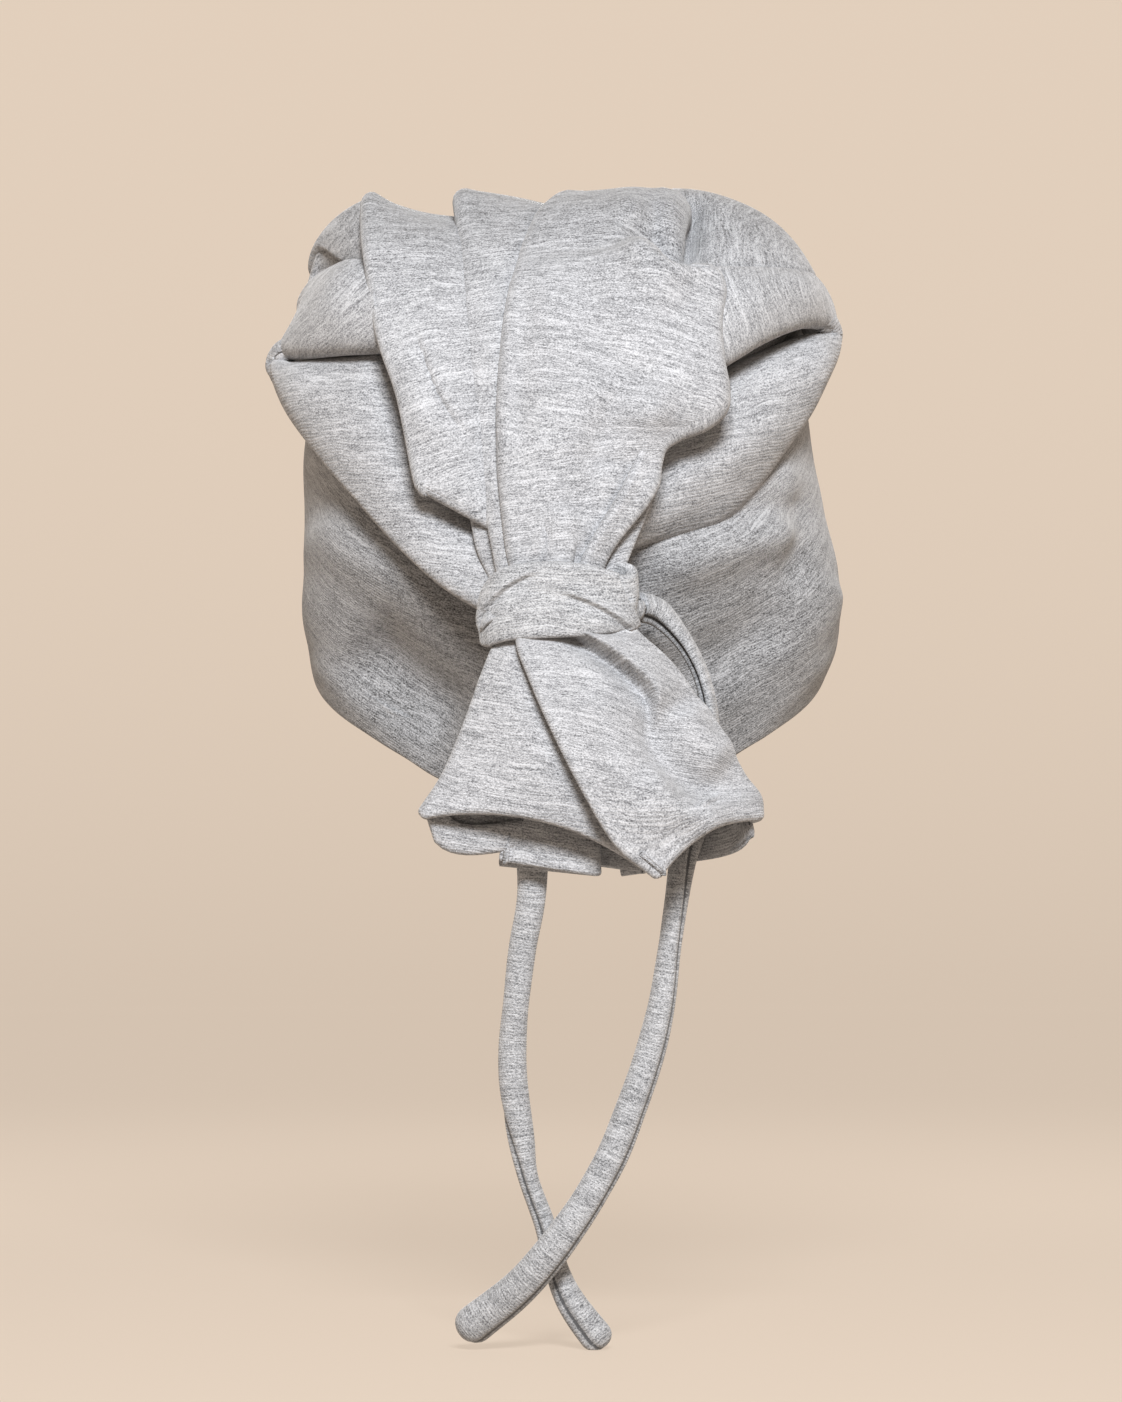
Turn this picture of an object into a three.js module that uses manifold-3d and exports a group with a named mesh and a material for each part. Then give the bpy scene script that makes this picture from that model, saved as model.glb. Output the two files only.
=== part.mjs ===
// Tie-knot beanie: a soft jersey cap whose crown cloth is drawn back in folds, gathered through a wrapped
// tie at the nape and left to flare below it, with two free tie ends hanging under the tail.
//
// Frame: millimetres, +Z up. The knot faces -Y and the open face side +Y. The origin is inside the crown,
// at the highest point of the head that carries the cap.
//
// Cloth pieces are walls. Each panel of cloth is a short table of stations: at each station the cloth runs
// from one edge to the other and swells outward between them. Where two pieces of cloth lie on each other,
// the one underneath is trimmed so that a small seam gap stays between them.

import * as THREE from "three";
import { mergeVertices } from "three/addons/utils/BufferGeometryUtils.js";
import Module from "manifold-3d";

const wasm = await Module();
wasm.setup();

// Driving dimensions
const clothWall = 2.0; // doubled jersey
const seamGap = 0.3; // clearance kept between neighbouring pieces
const headCentre = new THREE.Vector3(0, 6, -95); // centre of the widest section of the cap
const capTop = 4; // outside of the crown above the origin
const capHalfBack = 82;
const capHalfFront = 96;
const capAroundSteps = 36;
const capDownSteps = 12;
const crownFullness = 2.8; // 2 is an ellipsoid, more is a boxier crown
const knotCentre = new THREE.Vector3(-4, -108.5, -134);
const knotPull = 10; // how far the knot draws the back of the cap outward
const knotPullReach = 42;
const tieDiameter = 11;

const cloth = (colour) => new THREE.MeshStandardMaterial({ color: colour, roughness: 0.95, metalness: 0 });
const capCloth = cloth(0xb4b2b1);
const drapeCloth = cloth(0xc0bfbf);
const tieCloth = cloth(0xa9a8a8);

// ---------------------------------------------------------------- interpolation

// A smooth curve through the rows of a table, carried on straight past both ends.
function along(rows, t) {
  const last = rows.length - 1;
  const place = t * last;
  const k = Math.min(Math.max(Math.floor(place), 0), last - 1);
  const s = place - k;
  const here = rows[k];
  const next = rows[k + 1];
  return here.map((a, c) => {
    const b = next[c];
    const slopeA = k > 0 ? (b - rows[k - 1][c]) / 2 : b - a;
    const slopeB = k + 2 <= last ? (rows[k + 2][c] - a) / 2 : b - a;
    if (s < 0) return a + slopeA * s;
    if (s > 1) return b + slopeB * (s - 1);
    const s2 = s * s;
    const s3 = s2 * s;
    return (2 * s3 - 3 * s2 + 1) * a + (s3 - 2 * s2 + s) * slopeA + (3 * s2 - 2 * s3) * b + (s3 - s2) * slopeB;
  });
}

// ---------------------------------------------------------------- solids

function toManifold(points, faces) {
  const vertProperties = new Float32Array(points.flatMap((p) => [p.x, p.y, p.z]));
  const mesh = () => new wasm.Mesh({ numProp: 3, vertProperties, triVerts: new Uint32Array(faces.flat()) });
  const solid = new wasm.Manifold(mesh());
  if (solid.volume() > 0) return solid;
  faces = faces.map(([a, b, c]) => [a, c, b]);
  return new wasm.Manifold(mesh());
}

function toGeometry(solid) {
  const mesh = solid.getMesh();
  const geometry = new THREE.BufferGeometry();
  geometry.setAttribute("position", new THREE.BufferAttribute(Float32Array.from(mesh.vertProperties), 3));
  geometry.setIndex(new THREE.BufferAttribute(Uint32Array.from(mesh.triVerts), 1));
  return geometry;
}

function largestPiece(solid) {
  return solid.decompose().reduce((best, piece) => (piece.volume() > best.volume() ? piece : best));
}

function outwardNormal(surface, u, v) {
  const step = 0.01;
  const across = surface(u + step, v).sub(surface(u - step, v));
  const down = surface(u, v + step).sub(surface(u, v - step));
  const normal = across.cross(down).normalize();
  const away = surface(u, v).sub(headCentre);
  return normal.dot(away) < 0 ? normal.negate() : normal;
}

// ---------------------------------------------------------------- panels of cloth

function panelSurface(panel) {
  const rows = panel.stations;
  const [curlA, curlB] = panel.curl ?? [0, 0];
  const curlReach = 0.1; // share of the width that turns under at a folded edge
  return (u, v) => {
    const [ax, ay, az, bx, by, bz, swell] = along(rows, v);
    const a = new THREE.Vector3(ax, ay, az);
    const b = new THREE.Vector3(bx, by, bz);
    const [ax2, ay2, az2, bx2, by2, bz2] = along(rows, v + 0.02);
    const [ax1, ay1, az1, bx1, by1, bz1] = along(rows, v - 0.02);
    const down = new THREE.Vector3(ax2 + bx2 - ax1 - bx1, ay2 + by2 - ay1 - by1, az2 + bz2 - az1 - bz1);
    const normal = b.clone().sub(a).cross(down).normalize();
    const point = a.clone().lerp(b, u);
    if (normal.dot(point.clone().sub(headCentre)) < 0) normal.negate();
    const inside = Math.min(Math.max(u, 0), 1);
    const rise = swell * 4 * u * (1 - u);
    const under = curlA * Math.exp(-inside / curlReach) + curlB * Math.exp(-(1 - inside) / curlReach);
    return point.addScaledVector(normal, rise - under);
  };
}

// A closed wall around a panel's surface. grow thickens and widens it, for trimming a neighbour.
function panelWall(panel, grow = 0) {
  const surface = panelSurface(panel);
  const { acrossSteps, downSteps } = panel;
  const half = clothWall / 2 + grow;
  const middle = 0.5;
  const width = surface(0, middle).distanceTo(surface(1, middle));
  const length = surface(middle, 0).distanceTo(surface(middle, 1));
  const extraU = grow / width;
  const extraV = grow / length;
  const outer = [];
  const inner = [];
  for (let j = 0; j <= downSteps; j++) {
    for (let i = 0; i <= acrossSteps; i++) {
      const u = -extraU + (i / acrossSteps) * (1 + 2 * extraU);
      const v = -extraV + (j / downSteps) * (1 + 2 * extraV);
      const point = surface(u, v);
      const normal = outwardNormal(surface, u, v);
      outer.push(point.clone().addScaledVector(normal, half));
      inner.push(point.clone().addScaledVector(normal, -half));
    }
  }
  const stride = acrossSteps + 1;
  const back = outer.length;
  const faces = [];
  for (let j = 0; j < downSteps; j++) {
    for (let i = 0; i < acrossSteps; i++) {
      const p = j * stride + i;
      const q = p + stride;
      faces.push([p, p + 1, q + 1], [p, q + 1, q]);
      faces.push([back + p, back + q + 1, back + p + 1], [back + p, back + q, back + q + 1]);
    }
  }
  const rim = [];
  for (let i = 0; i < acrossSteps; i++) rim.push(i);
  for (let j = 0; j < downSteps; j++) rim.push(j * stride + acrossSteps);
  for (let i = acrossSteps; i > 0; i--) rim.push(downSteps * stride + i);
  for (let j = downSteps; j > 0; j--) rim.push(j * stride);
  rim.forEach((p, k) => {
    const q = rim[(k + 1) % rim.length];
    faces.push([q, p, back + p], [q, back + p, back + q]);
  });
  return toManifold([...outer, ...inner], faces);
}

// Each panel's table. Stations run the way the cloth runs, edge a is the left or lower one.
// columns:  ax    ay    az     bx    by    bz   swell
const panels = {
  drape_centre: {
    curl: [2.5, 2.5],
    acrossSteps: 6,
    downSteps: 18,
    stations: [
      [-2, 26, 2, 40, 26, -3, 0],
      [-2, -4, 8, 42, -4, 9, 3],
      [-5, -28, 10, 41, -28, 11, 3],
      [-11, -47, 4, 40, -46, 3, 3],
      [-16, -65, -9, 40, -60, -10, 4],
      [-20, -79, -24, 51, -71, -21, 5],
      [-23, -88, -38, 51, -82, -38, 6],
      [-24, -94, -54, 50.5, -89, -55, 6],
      [-24.7, -98, -71, 50, -92, -70, 6],
      [-24.3, -101, -83, 31, -96, -81, 5],
      [-24, -104, -93, 27, -100, -91, 4],
      [-22.5, -107, -107, 21, -105, -106, 3],
      [-21, -110, -121, 11, -110, -121, 2],
      [-18, -112, -134, 8, -112, -134, 1],
    ],
  },
  drape_pleat: {
    curl: [2, 0],
    acrossSteps: 4,
    downSteps: 14,
    stations: [
      [-34, 24, 0, 0, 24, 3, 0],
      [-39, -4, 8, 4, -4, 5, 3],
      [-40, -26, 9, 2, -26, 6, 3],
      [-38.5, -47, -3, -5, -46, 0, 3],
      [-37, -68, -20, -10, -66, -18, 2],
      [-35.5, -83, -46, -14, -83, -45, 2],
      [-33, -90, -72, -16, -91, -72, 2],
      [-30, -96, -95, -16, -98, -95, 2],
      [-25, -105, -122, -15, -107, -122, 1],
      [-22.5, -108, -134, -14, -109, -134, 1],
    ],
  },
  drape_flap_left: {
    curl: [2.5, 0],
    acrossSteps: 4,
    downSteps: 14,
    stations: [
      [-58, 22, -8, -30, 24, 1, 0],
      [-68, -6, 5, -32, -4, 6, 2],
      [-72, -24, 9.5, -34, -26, 3, 2],
      [-72.5, -43, -3, -33, -46, -5, 2],
      [-71.5, -58, -14, -31, -64, -20, 2],
      [-67, -72, -40, -30, -79, -46, 3],
      [-59.5, -79, -63, -28, -86, -72, 3],
      [-54.5, -87, -91, -26, -93, -93, 3],
      [-46, -92, -98, -25, -98, -108, 1],
    ],
  },
  drape_tuck_right: {
    curl: [0, 2],
    acrossSteps: 3,
    downSteps: 6,
    stations: [
      [20, -92, -74, 28, -92, -77, 0],
      [20, -95, -88, 31, -94, -88, 1],
      [16, -99, -99, 29, -97, -99, 1],
      [12, -102, -108, 24, -100, -107, 1],
      [7, -106, -122, 18, -104, -122, 1],
      [5, -108, -134, 15, -106, -134, 1],
    ],
  },
  drape_tuck_left: {
    curl: [2, 0],
    acrossSteps: 3,
    downSteps: 5,
    stations: [
      [-38, -88, -94, -22, -92, -92, 1],
      [-35.5, -92, -104, -20, -96, -104, 1],
      [-33, -96, -116, -18, -101, -116, 1],
      [-28, -101, -127, -16, -104, -127, 1],
      [-25, -103, -134, -14, -105, -134, 1],
    ],
  },
  crown_fold_left: {
    curl: [3, 0],
    acrossSteps: 5,
    downSteps: 10,
    stations: [
      [-76, 38, -29, -46, 40, -6, 0],
      [-88, 12, -12, -56, 12, 2, 4],
      [-90, -10, -5, -64, -10, 9, 5],
      [-88, -26, -7.5, -66, -28, 4, 5],
      [-80, -40, -12, -66, -44, -6, 3],
      [-71, -56, -18, -62, -56, -14, 1],
    ],
  },
  crown_fold_right: {
    curl: [0, 3],
    acrossSteps: 6,
    downSteps: 10,
    stations: [
      [46, 40, -6, 70, 42, -29, 0],
      [44, 10, 6, 86, 10, -21, 5],
      [41, -12, 10, 86, -10, -17, 8],
      [38, -32, 6, 82, -28, -16, 8],
      [37, -48, -5, 66, -48, -17, 5],
      [37, -60, -16, 50, -61, -18, 2],
    ],
  },
  crown_roll_left: {
    curl: [4, 0],
    acrossSteps: 5,
    downSteps: 12,
    stations: [
      [-80, 50, -52, -68, 47, -26, 0],
      [-90, 24, -47, -80, 18, -20, 2],
      [-97, 2, -45, -85, -2, -14, 1],
      [-105, -21, -45.5, -86, -18, -12, 0.5],
      [-95, -40, -42.5, -80, -34, -15, 3],
      [-81, -57, -42, -71, -48, -19, 4],
      [-64, -71, -42, -60, -60, -25, 3],
    ],
  },
  crown_roll_right: {
    curl: [0, 4],
    acrossSteps: 5,
    downSteps: 12,
    stations: [
      [62, 50, -26, 71, 54, -52, 0],
      [78, 22, -20, 86, 26, -46, 2],
      [83, -4, -18, 93.5, -1, -41, 3],
      [82, -20, -17, 96.5, -18, -39, 2.5],
      [75, -38, -17, 84, -40, -34, 4],
      [61, -53, -18, 68, -61, -40, 3],
      [46, -63, -20, 52, -77, -50, 2],
    ],
  },
  wing_left: {
    curl: [3, 0],
    acrossSteps: 5,
    downSteps: 10,
    stations: [
      [-105, -20, -51, -99, -16, -42, 0],
      [-100, -34, -65, -91, -36, -37, 3],
      [-88, -49, -82, -78, -51, -34, 5],
      [-73, -66, -99, -58, -64, -42, 6],
      [-58, -81, -116, -42, -76, -70, 6],
      [-44, -92, -129, -32, -87, -100, 4],
      [-33, -99, -137, -23, -97, -124, 2],
    ],
  },
  wing_right: {
    curl: [0, 3],
    acrossSteps: 5,
    downSteps: 10,
    stations: [
      [92, -12, -38, 97, -15, -46, 0],
      [84, -30, -34, 91, -28, -57, 3],
      [72, -49, -34, 82, -38, -69, 4],
      [56, -66, -42, 72, -49, -86, 5],
      [42, -77, -60, 58, -65, -99, 5],
      [32, -87, -82, 42, -81, -109, 4],
      [18, -96, -108, 24, -96, -122, 2],
    ],
  },
  tail_right: {
    curl: [2.5, 2.5],
    acrossSteps: 6,
    downSteps: 9,
    stations: [
      [-16, -117, -137, 18, -114, -137, 1],
      [-19, -120, -147, 24, -110, -145, 2],
      [-14, -124, -160, 38, -110, -157, 3],
      [-7, -128, -176, 50, -111, -175, 4],
      [4, -131, -198, 61, -112, -192, 4],
      [15, -132, -217, 66, -111, -201, 3],
      [28, -129, -229, 65, -111, -206, 2],
    ],
  },
  tail_left: {
    curl: [2.5, 0],
    acrossSteps: 6,
    downSteps: 8,
    stations: [
      [-22, -112, -137, -6, -116, -137, 1],
      [-27.5, -112, -149, -8, -117, -149, 2],
      [-32, -112, -160, -4, -119, -160, 3],
      [-37, -112, -174, 4, -121, -175, 4],
      [-45, -113, -194, 14, -122, -196, 5],
      [-52, -114, -206, 25, -117, -224, 6],
    ],
  },
  tail_return_right: {
    curl: [0, -1.5],
    acrossSteps: 4,
    downSteps: 5,
    stations: [
      [6, -101, -150, 22, -104, -146, 0],
      [16, -102, -175, 49, -106, -174, 0],
      [26, -104, -200, 62, -106, -196, 0],
      [33, -108, -223, 65, -106, -211, 0],
    ],
  },
  tail_return_left: {
    curl: [-1.5, 0],
    acrossSteps: 4,
    downSteps: 5,
    stations: [
      [-24, -106, -148, -8, -104, -148, 0],
      [-36, -107, -174, -4, -105, -176, 0],
      [-45, -108, -196, 0, -105, -198, 0],
      [-50, -109, -211, -4, -107, -216, 0],
    ],
  },
  tail_inner_left: {
    curl: [1.5, 0],
    acrossSteps: 3,
    downSteps: 3,
    stations: [
      [-14, -100, -145, 4, -100, -145, 0],
      [-20, -100, -185, 8, -100, -186, 0],
      [-25, -101, -224, 10, -102, -226, 0],
    ],
  },
  tail_inner_right: {
    curl: [0, 1.5],
    acrossSteps: 3,
    downSteps: 3,
    stations: [
      [2, -97, -145, 14, -97, -145, 0],
      [6, -97, -185, 22, -98, -186, 0],
      [9, -97, -228, 30, -99, -227, 0],
    ],
  },
};

// ---------------------------------------------------------------- cap

// Height of the rim around the head. turn is 0 over the left ear's side, +1 at the brow and -1 at the nape.
const rimStations = [
  // turn   rim height
  [-1, -214],
  [-0.8, -205],
  [-0.63, -195],
  [-0.5, -186.5],
  [-0.37, -179],
  [-0.22, -171.5],
  [-0.1, -165],
  [0, -159],
  [0.35, -138],
  [0.7, -108],
  [1, -90],
];

// Half widths of the cap to its left and right, and the share of its full depth, at heights down its sides.
// The right side is slack over the ear, so it hangs narrower above and fuller below. The depth narrows to the nape.
const sideStations = [
  // height left right depth
  [-15, 95, 95, 1],
  [-40, 95, 92, 1],
  [-60, 95.5, 86, 1],
  [-80, 96, 88, 1],
  [-100, 96, 91.5, 1],
  [-120, 96.5, 96.5, 0.97],
  [-135, 96.5, 97.5, 0.92],
  [-150, 95, 95, 0.86],
  [-165, 91.5, 89.5, 0.78],
  [-180, 87, 84, 0.69],
  [-211, 80, 78, 0.54],
];

// The row of a table at a place of its first column, between its two nearest rows.
function rowAt(table, place) {
  const rising = table[1][0] > table[0][0];
  const passed = (row) => (rising ? place <= row[0] : place >= row[0]);
  const found = table.findIndex((row, i) => i > 0 && passed(row));
  const k = found < 0 ? table.length - 1 : found;
  const [before, after] = [table[k - 1], table[k]];
  const share = THREE.MathUtils.clamp((place - before[0]) / (after[0] - before[0]), 0, 1);
  return before.map((value, c) => THREE.MathUtils.lerp(value, after[c], share));
}

// A point of the cap's outside, or of a skin inset from it. around is an angle from +X towards +Y.
function capPoint(around, v, inset = 0) {
  const cos = Math.cos(around);
  const sin = Math.sin(around);
  const [, rim] = rowAt(rimStations, (2 / Math.PI) * Math.asin(sin));
  const top = capTop - inset;
  const crownHeight = top - headCentre.z;
  const drop = headCentre.z - rim;
  // The upper 60% of v runs from the crown to the widest section, the rest goes straight down to the rim.
  const crownShare = 0.6;
  const upper = Math.min(v / crownShare, 1);
  const lower = Math.max((v - crownShare) / (1 - crownShare), 0);
  const sweep = upper * (Math.PI / 2);
  const spread = Math.sin(sweep) ** (2 / crownFullness);
  const rise = Math.cos(sweep) ** (2 / crownFullness);
  const z = lower > 0 ? headCentre.z - drop * lower : headCentre.z + crownHeight * rise;
  const [, left, right, depthShare] = rowAt(sideStations, z);
  const halfWidth = cos < 0 ? left : right;
  const halfDepth = (sin < 0 ? capHalfBack : capHalfFront) * depthShare;
  const x = (halfWidth - inset) * spread * cos;
  const y = headCentre.y + (halfDepth - inset) * spread * sin;
  const point = new THREE.Vector3(x, y, z);
  if (sin < 0) {
    const near = Math.hypot(x - knotCentre.x, (z - knotCentre.z) * 0.8) / knotPullReach;
    point.y -= knotPull * Math.exp(-near * near);
  }
  return point;
}

// inset 0 and clothWall give the cap itself. A filled cap, a little larger, trims the cloth that lies on it.
function capSolid(aroundSteps, downSteps, outside, inside) {
  const points = [];
  const faces = [];
  const skin = (inset, flip) => {
    const pole = points.push(capPoint(0, 0, inset)) - 1;
    const ring = (j, i) => pole + 1 + (j - 1) * aroundSteps + (i % aroundSteps);
    for (let j = 1; j <= downSteps; j++) {
      for (let i = 0; i < aroundSteps; i++) {
        points.push(capPoint((i / aroundSteps) * 2 * Math.PI, j / downSteps, inset));
      }
    }
    const add = (a, b, c) => faces.push(flip ? [a, c, b] : [a, b, c]);
    for (let i = 0; i < aroundSteps; i++) {
      add(pole, ring(1, i), ring(1, i + 1));
      for (let j = 1; j < downSteps; j++) {
        add(ring(j, i), ring(j + 1, i), ring(j + 1, i + 1));
        add(ring(j, i), ring(j + 1, i + 1), ring(j, i + 1));
      }
    }
    return (i) => ring(downSteps, i);
  };
  const outerRim = skin(outside, false);
  if (inside === null) {
    const floor = points.push(headCentre.clone()) - 1;
    for (let i = 0; i < aroundSteps; i++) faces.push([floor, outerRim(i + 1), outerRim(i)]);
    return toManifold(points, faces);
  }
  const innerRim = skin(inside, true);
  for (let i = 0; i < aroundSteps; i++) {
    faces.push([outerRim(i), innerRim(i), innerRim(i + 1)], [outerRim(i), innerRim(i + 1), outerRim(i + 1)]);
  }
  return toManifold(points, faces);
}

// ---------------------------------------------------------------- the wrapped tie of the knot

// Each turn of the wrap is a flat oval ring. tilt lifts its right side.
const wraps = {
  knot_band_lower: { lowZ: -148.5, highZ: -133.2, halfWidth: 27.5, halfDepth: 13.5, topTaper: 0.02, tilt: 0.06 },
  knot_band_upper: { lowZ: -132.6, highZ: -120, halfWidth: 26.8, halfDepth: 13.2, topTaper: 0.12, tilt: 0.06 },
};

function wrapSolid({ lowZ, highZ, halfWidth, halfDepth, topTaper, tilt }, grow = 0) {
  const aroundSteps = 24;
  const levels = 2;
  const points = [];
  const faces = [];
  const section = [];
  for (let k = 0; k <= levels; k++) section.push([k / levels, grow]);
  for (let k = levels; k >= 0; k--) section.push([k / levels, -clothWall - grow]);
  for (let i = 0; i < aroundSteps; i++) {
    const angle = (i / aroundSteps) * 2 * Math.PI;
    for (const [level, offset] of section) {
      const round = 1 - topTaper * level * level;
      const x = knotCentre.x + (halfWidth * round + offset) * Math.cos(angle);
      const y = knotCentre.y + (halfDepth * round + offset) * Math.sin(angle);
      const z = THREE.MathUtils.lerp(lowZ - grow, highZ + grow, level) + tilt * (x - knotCentre.x);
      points.push(new THREE.Vector3(x, y, z));
    }
  }
  const n = section.length;
  for (let i = 0; i < aroundSteps; i++) {
    const next = (i + 1) % aroundSteps;
    for (let k = 0; k < n; k++) {
      const m = (k + 1) % n;
      faces.push([i * n + k, next * n + k, next * n + m], [i * n + k, next * n + m, i * n + m]);
    }
  }
  return toManifold(points, faces);
}

// ---------------------------------------------------------------- hanging ties

// The way that each tie hangs, from the knot to its end.
const tieRoutes = {
  tie_left: [
    [-14, -91.6, -149.6], [-14.5, -90.6, -160], [-14.5, -90, -178], [-14, -90, -200], [-13.5, -91, -222],
    [-14.7, -91, -237], [-17.8, -90, -254], [-19.9, -90, -272], [-20.6, -89, -289], [-19.9, -89, -303],
    [-17, -88, -320], [-13, -87, -334], [-8, -86, -350], [-3, -86, -364], [2.5, -87, -377], [9, -88, -389],
  ],
  tie_right: [
    [18.7, -100.5, -137], [23.5, -94.7, -137.5], [30, -91.7, -140], [36, -90.5, -146], [40, -90, -153],
    [43.5, -90, -163], [46, -90, -177], [46, -90, -192], [43.5, -90, -208], [39.5, -91, -222],
    [37.3, -92, -237], [34.3, -93, -254], [30, -94, -271.5], [24.5, -95, -289], [17, -97, -306],
    [9, -99, -323.5], [0, -101, -340.5], [-11, -103, -357.5], [-23, -104, -371.5], [-37.5, -105, -382.5],
  ],
};

function tieSolid(route) {
  const curve = new THREE.CatmullRomCurve3(route.map((p) => new THREE.Vector3(...p)));
  const sides = 8;
  const section = new THREE.Shape();
  for (let i = 0; i < sides; i++) {
    const angle = (i / sides) * 2 * Math.PI;
    const x = (tieDiameter / 2) * Math.cos(angle);
    const y = (tieDiameter / 2) * Math.sin(angle);
    if (i === 0) section.moveTo(x, y);
    else section.lineTo(x, y);
  }
  section.closePath();
  const steps = Math.ceil(curve.getLength() / (1.2 * tieDiameter));
  const tube = new THREE.ExtrudeGeometry(section, { steps, extrudePath: curve, curveSegments: 1 });
  tube.deleteAttribute("normal");
  tube.deleteAttribute("uv");
  return mergeVertices(tube, 0.001);
}

// ---------------------------------------------------------------- assembly

const beanie = new THREE.Group();

function addPiece(name, geometry, material) {
  const mesh = new THREE.Mesh(geometry, material);
  mesh.name = name;
  beanie.add(mesh);
}

for (const [name, route] of Object.entries(tieRoutes)) addPiece(name, tieSolid(route), tieCloth);

// From the outermost cloth to the innermost: each piece is trimmed by those that lie over it.
const trimmers = [];
for (const [name, wrap] of Object.entries(wraps)) {
  addPiece(name, toGeometry(wrapSolid(wrap)), tieCloth);
  trimmers.push(wrapSolid(wrap, seamGap));
}
const filledCap = capSolid(capAroundSteps, capDownSteps, -seamGap, null);
for (const [name, panel] of Object.entries(panels)) {
  let piece = panelWall(panel).subtract(filledCap);
  for (const trimmer of trimmers) piece = piece.subtract(trimmer);
  addPiece(name, toGeometry(largestPiece(piece)), drapeCloth);
  trimmers.push(panelWall(panel, seamGap).add(panelWall(panel)));
}
addPiece("cap", toGeometry(capSolid(capAroundSteps, capDownSteps, 0, clothWall)), capCloth);

export default beanie;
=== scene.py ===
# %% [markdown]
# # Tie-knot beanie
# A soft jersey cap of the turban kind. The crown cloth is drawn back in folds, falls as a pleated drape to
# a knot at the nape, is wrapped there by the tie, and flares below it as a short tail. This script dresses
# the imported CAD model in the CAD's own frame.

# %% Load the frame
import math

import bpy
import bmesh
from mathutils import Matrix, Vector, noise


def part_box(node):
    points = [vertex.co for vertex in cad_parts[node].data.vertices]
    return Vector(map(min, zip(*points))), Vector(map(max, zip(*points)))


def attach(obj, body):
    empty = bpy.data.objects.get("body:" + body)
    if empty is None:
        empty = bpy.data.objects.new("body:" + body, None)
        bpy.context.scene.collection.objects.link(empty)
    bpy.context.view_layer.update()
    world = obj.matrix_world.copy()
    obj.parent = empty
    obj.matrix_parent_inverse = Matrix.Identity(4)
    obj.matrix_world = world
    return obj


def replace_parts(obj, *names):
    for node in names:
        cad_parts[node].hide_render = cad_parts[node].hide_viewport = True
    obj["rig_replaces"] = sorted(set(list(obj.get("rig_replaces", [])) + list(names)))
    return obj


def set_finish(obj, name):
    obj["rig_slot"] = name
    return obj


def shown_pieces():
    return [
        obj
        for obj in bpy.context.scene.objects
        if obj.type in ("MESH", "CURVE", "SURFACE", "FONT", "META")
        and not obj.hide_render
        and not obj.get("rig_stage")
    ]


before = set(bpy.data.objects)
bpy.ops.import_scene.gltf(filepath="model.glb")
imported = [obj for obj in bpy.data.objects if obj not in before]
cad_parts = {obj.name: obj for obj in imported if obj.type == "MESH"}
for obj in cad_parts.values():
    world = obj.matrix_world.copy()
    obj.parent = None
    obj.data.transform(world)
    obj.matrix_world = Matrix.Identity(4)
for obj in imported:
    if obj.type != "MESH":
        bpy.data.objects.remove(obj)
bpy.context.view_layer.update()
cap_low, cap_high = (Vector(corner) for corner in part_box("cap"))
CAP_WIDTH_MM = 193.0
MM = (cap_high.x - cap_low.x) / CAP_WIDTH_MM
print("one millimetre in the frame:", round(MM, 6), "m; nodes:", len(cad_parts))

# %% [markdown]
# ## Camera
# The cap is seen from behind and level, through a long lens from far away, so nothing is foreshortened. The
# camera stands level with the upper part of the tail.

# %% Camera
SIGHT_DISTANCE = 2500 * MM
SIGHT_X = -3.6 * MM
SIGHT_Z = -168 * MM
camera_data = bpy.data.cameras.new("camera")
camera_data.lens = 178.3
camera_data.sensor_width = 36
camera_data.clip_end = 50
camera = bpy.data.objects.new("camera", camera_data)
camera.location = (SIGHT_X, -SIGHT_DISTANCE, SIGHT_Z)
camera.rotation_euler = (math.radians(90), 0, 0)
bpy.context.scene.collection.objects.link(camera)
bpy.context.scene.camera = camera
print("camera", [round(c, 3) for c in camera.location])

# %% [markdown]
# ## Tables into curves
# Every soft form here is a short table. A row is a station along the cloth, and a smooth curve runs through
# the rows of each column. The same curve serves a tie, a fold or the whole cap.

# %% Smooth interpolation through the rows of a table
def curve(s, start, end, slope_1, slope_2):
    """A smooth curve from start (s = 0) to end (s = 1), with its slopes there."""
    return (
        (2 * s**3 - 3 * s**2 + 1) * start
        + (s**3 - 2 * s**2 + s) * slope_1
        + (3 * s**2 - 2 * s**3) * end
        + (s**3 - s**2) * slope_2
    )


def through(rows, t):
    last = len(rows) - 1
    place = min(max(t, 0.0), 1.0) * last
    k = min(int(place), last - 1)
    s = place - k
    before = rows[max(k - 1, 0)]
    here = rows[k]
    after = rows[k + 1]
    beyond = rows[min(k + 2, last)]
    result = []
    for p0, p1, p2, p3 in zip(before, here, after, beyond):
        slope_1 = (p2 - p0) / 2 if k > 0 else p2 - p1
        slope_2 = (p3 - p1) / 2 if k + 2 <= last else p2 - p1
        result.append(curve(s, p1, p2, slope_1, slope_2))
    return result


def smooth(low, high, value):
    share = min(max((value - low) / (high - low), 0.0), 1.0)
    return share * share * (3 - 2 * share)


def blend(a, b, share):
    return a + (b - a) * share


def lengths_along(points):
    """The distance from the first point to each of the points, along the line through them."""
    lengths = [0.0]
    for p, q in zip(points, points[1:]):
        lengths.append(lengths[-1] + (q - p).length)
    return lengths


# %% [markdown]
# ## A grid that becomes a piece
# Blender's grid operator gives a flat sheet of quads. A placement function then says where each point of
# it goes and which part of the knit it shows, so the knit follows the cloth.

# %% Grid to piece
def new_piece(name, bm):
    mesh = bpy.data.meshes.new(name)
    bm.to_mesh(mesh)
    bm.free()
    piece = bpy.data.objects.new(name, mesh)
    bpy.context.scene.collection.objects.link(piece)
    mesh.shade_smooth()
    return piece


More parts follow.
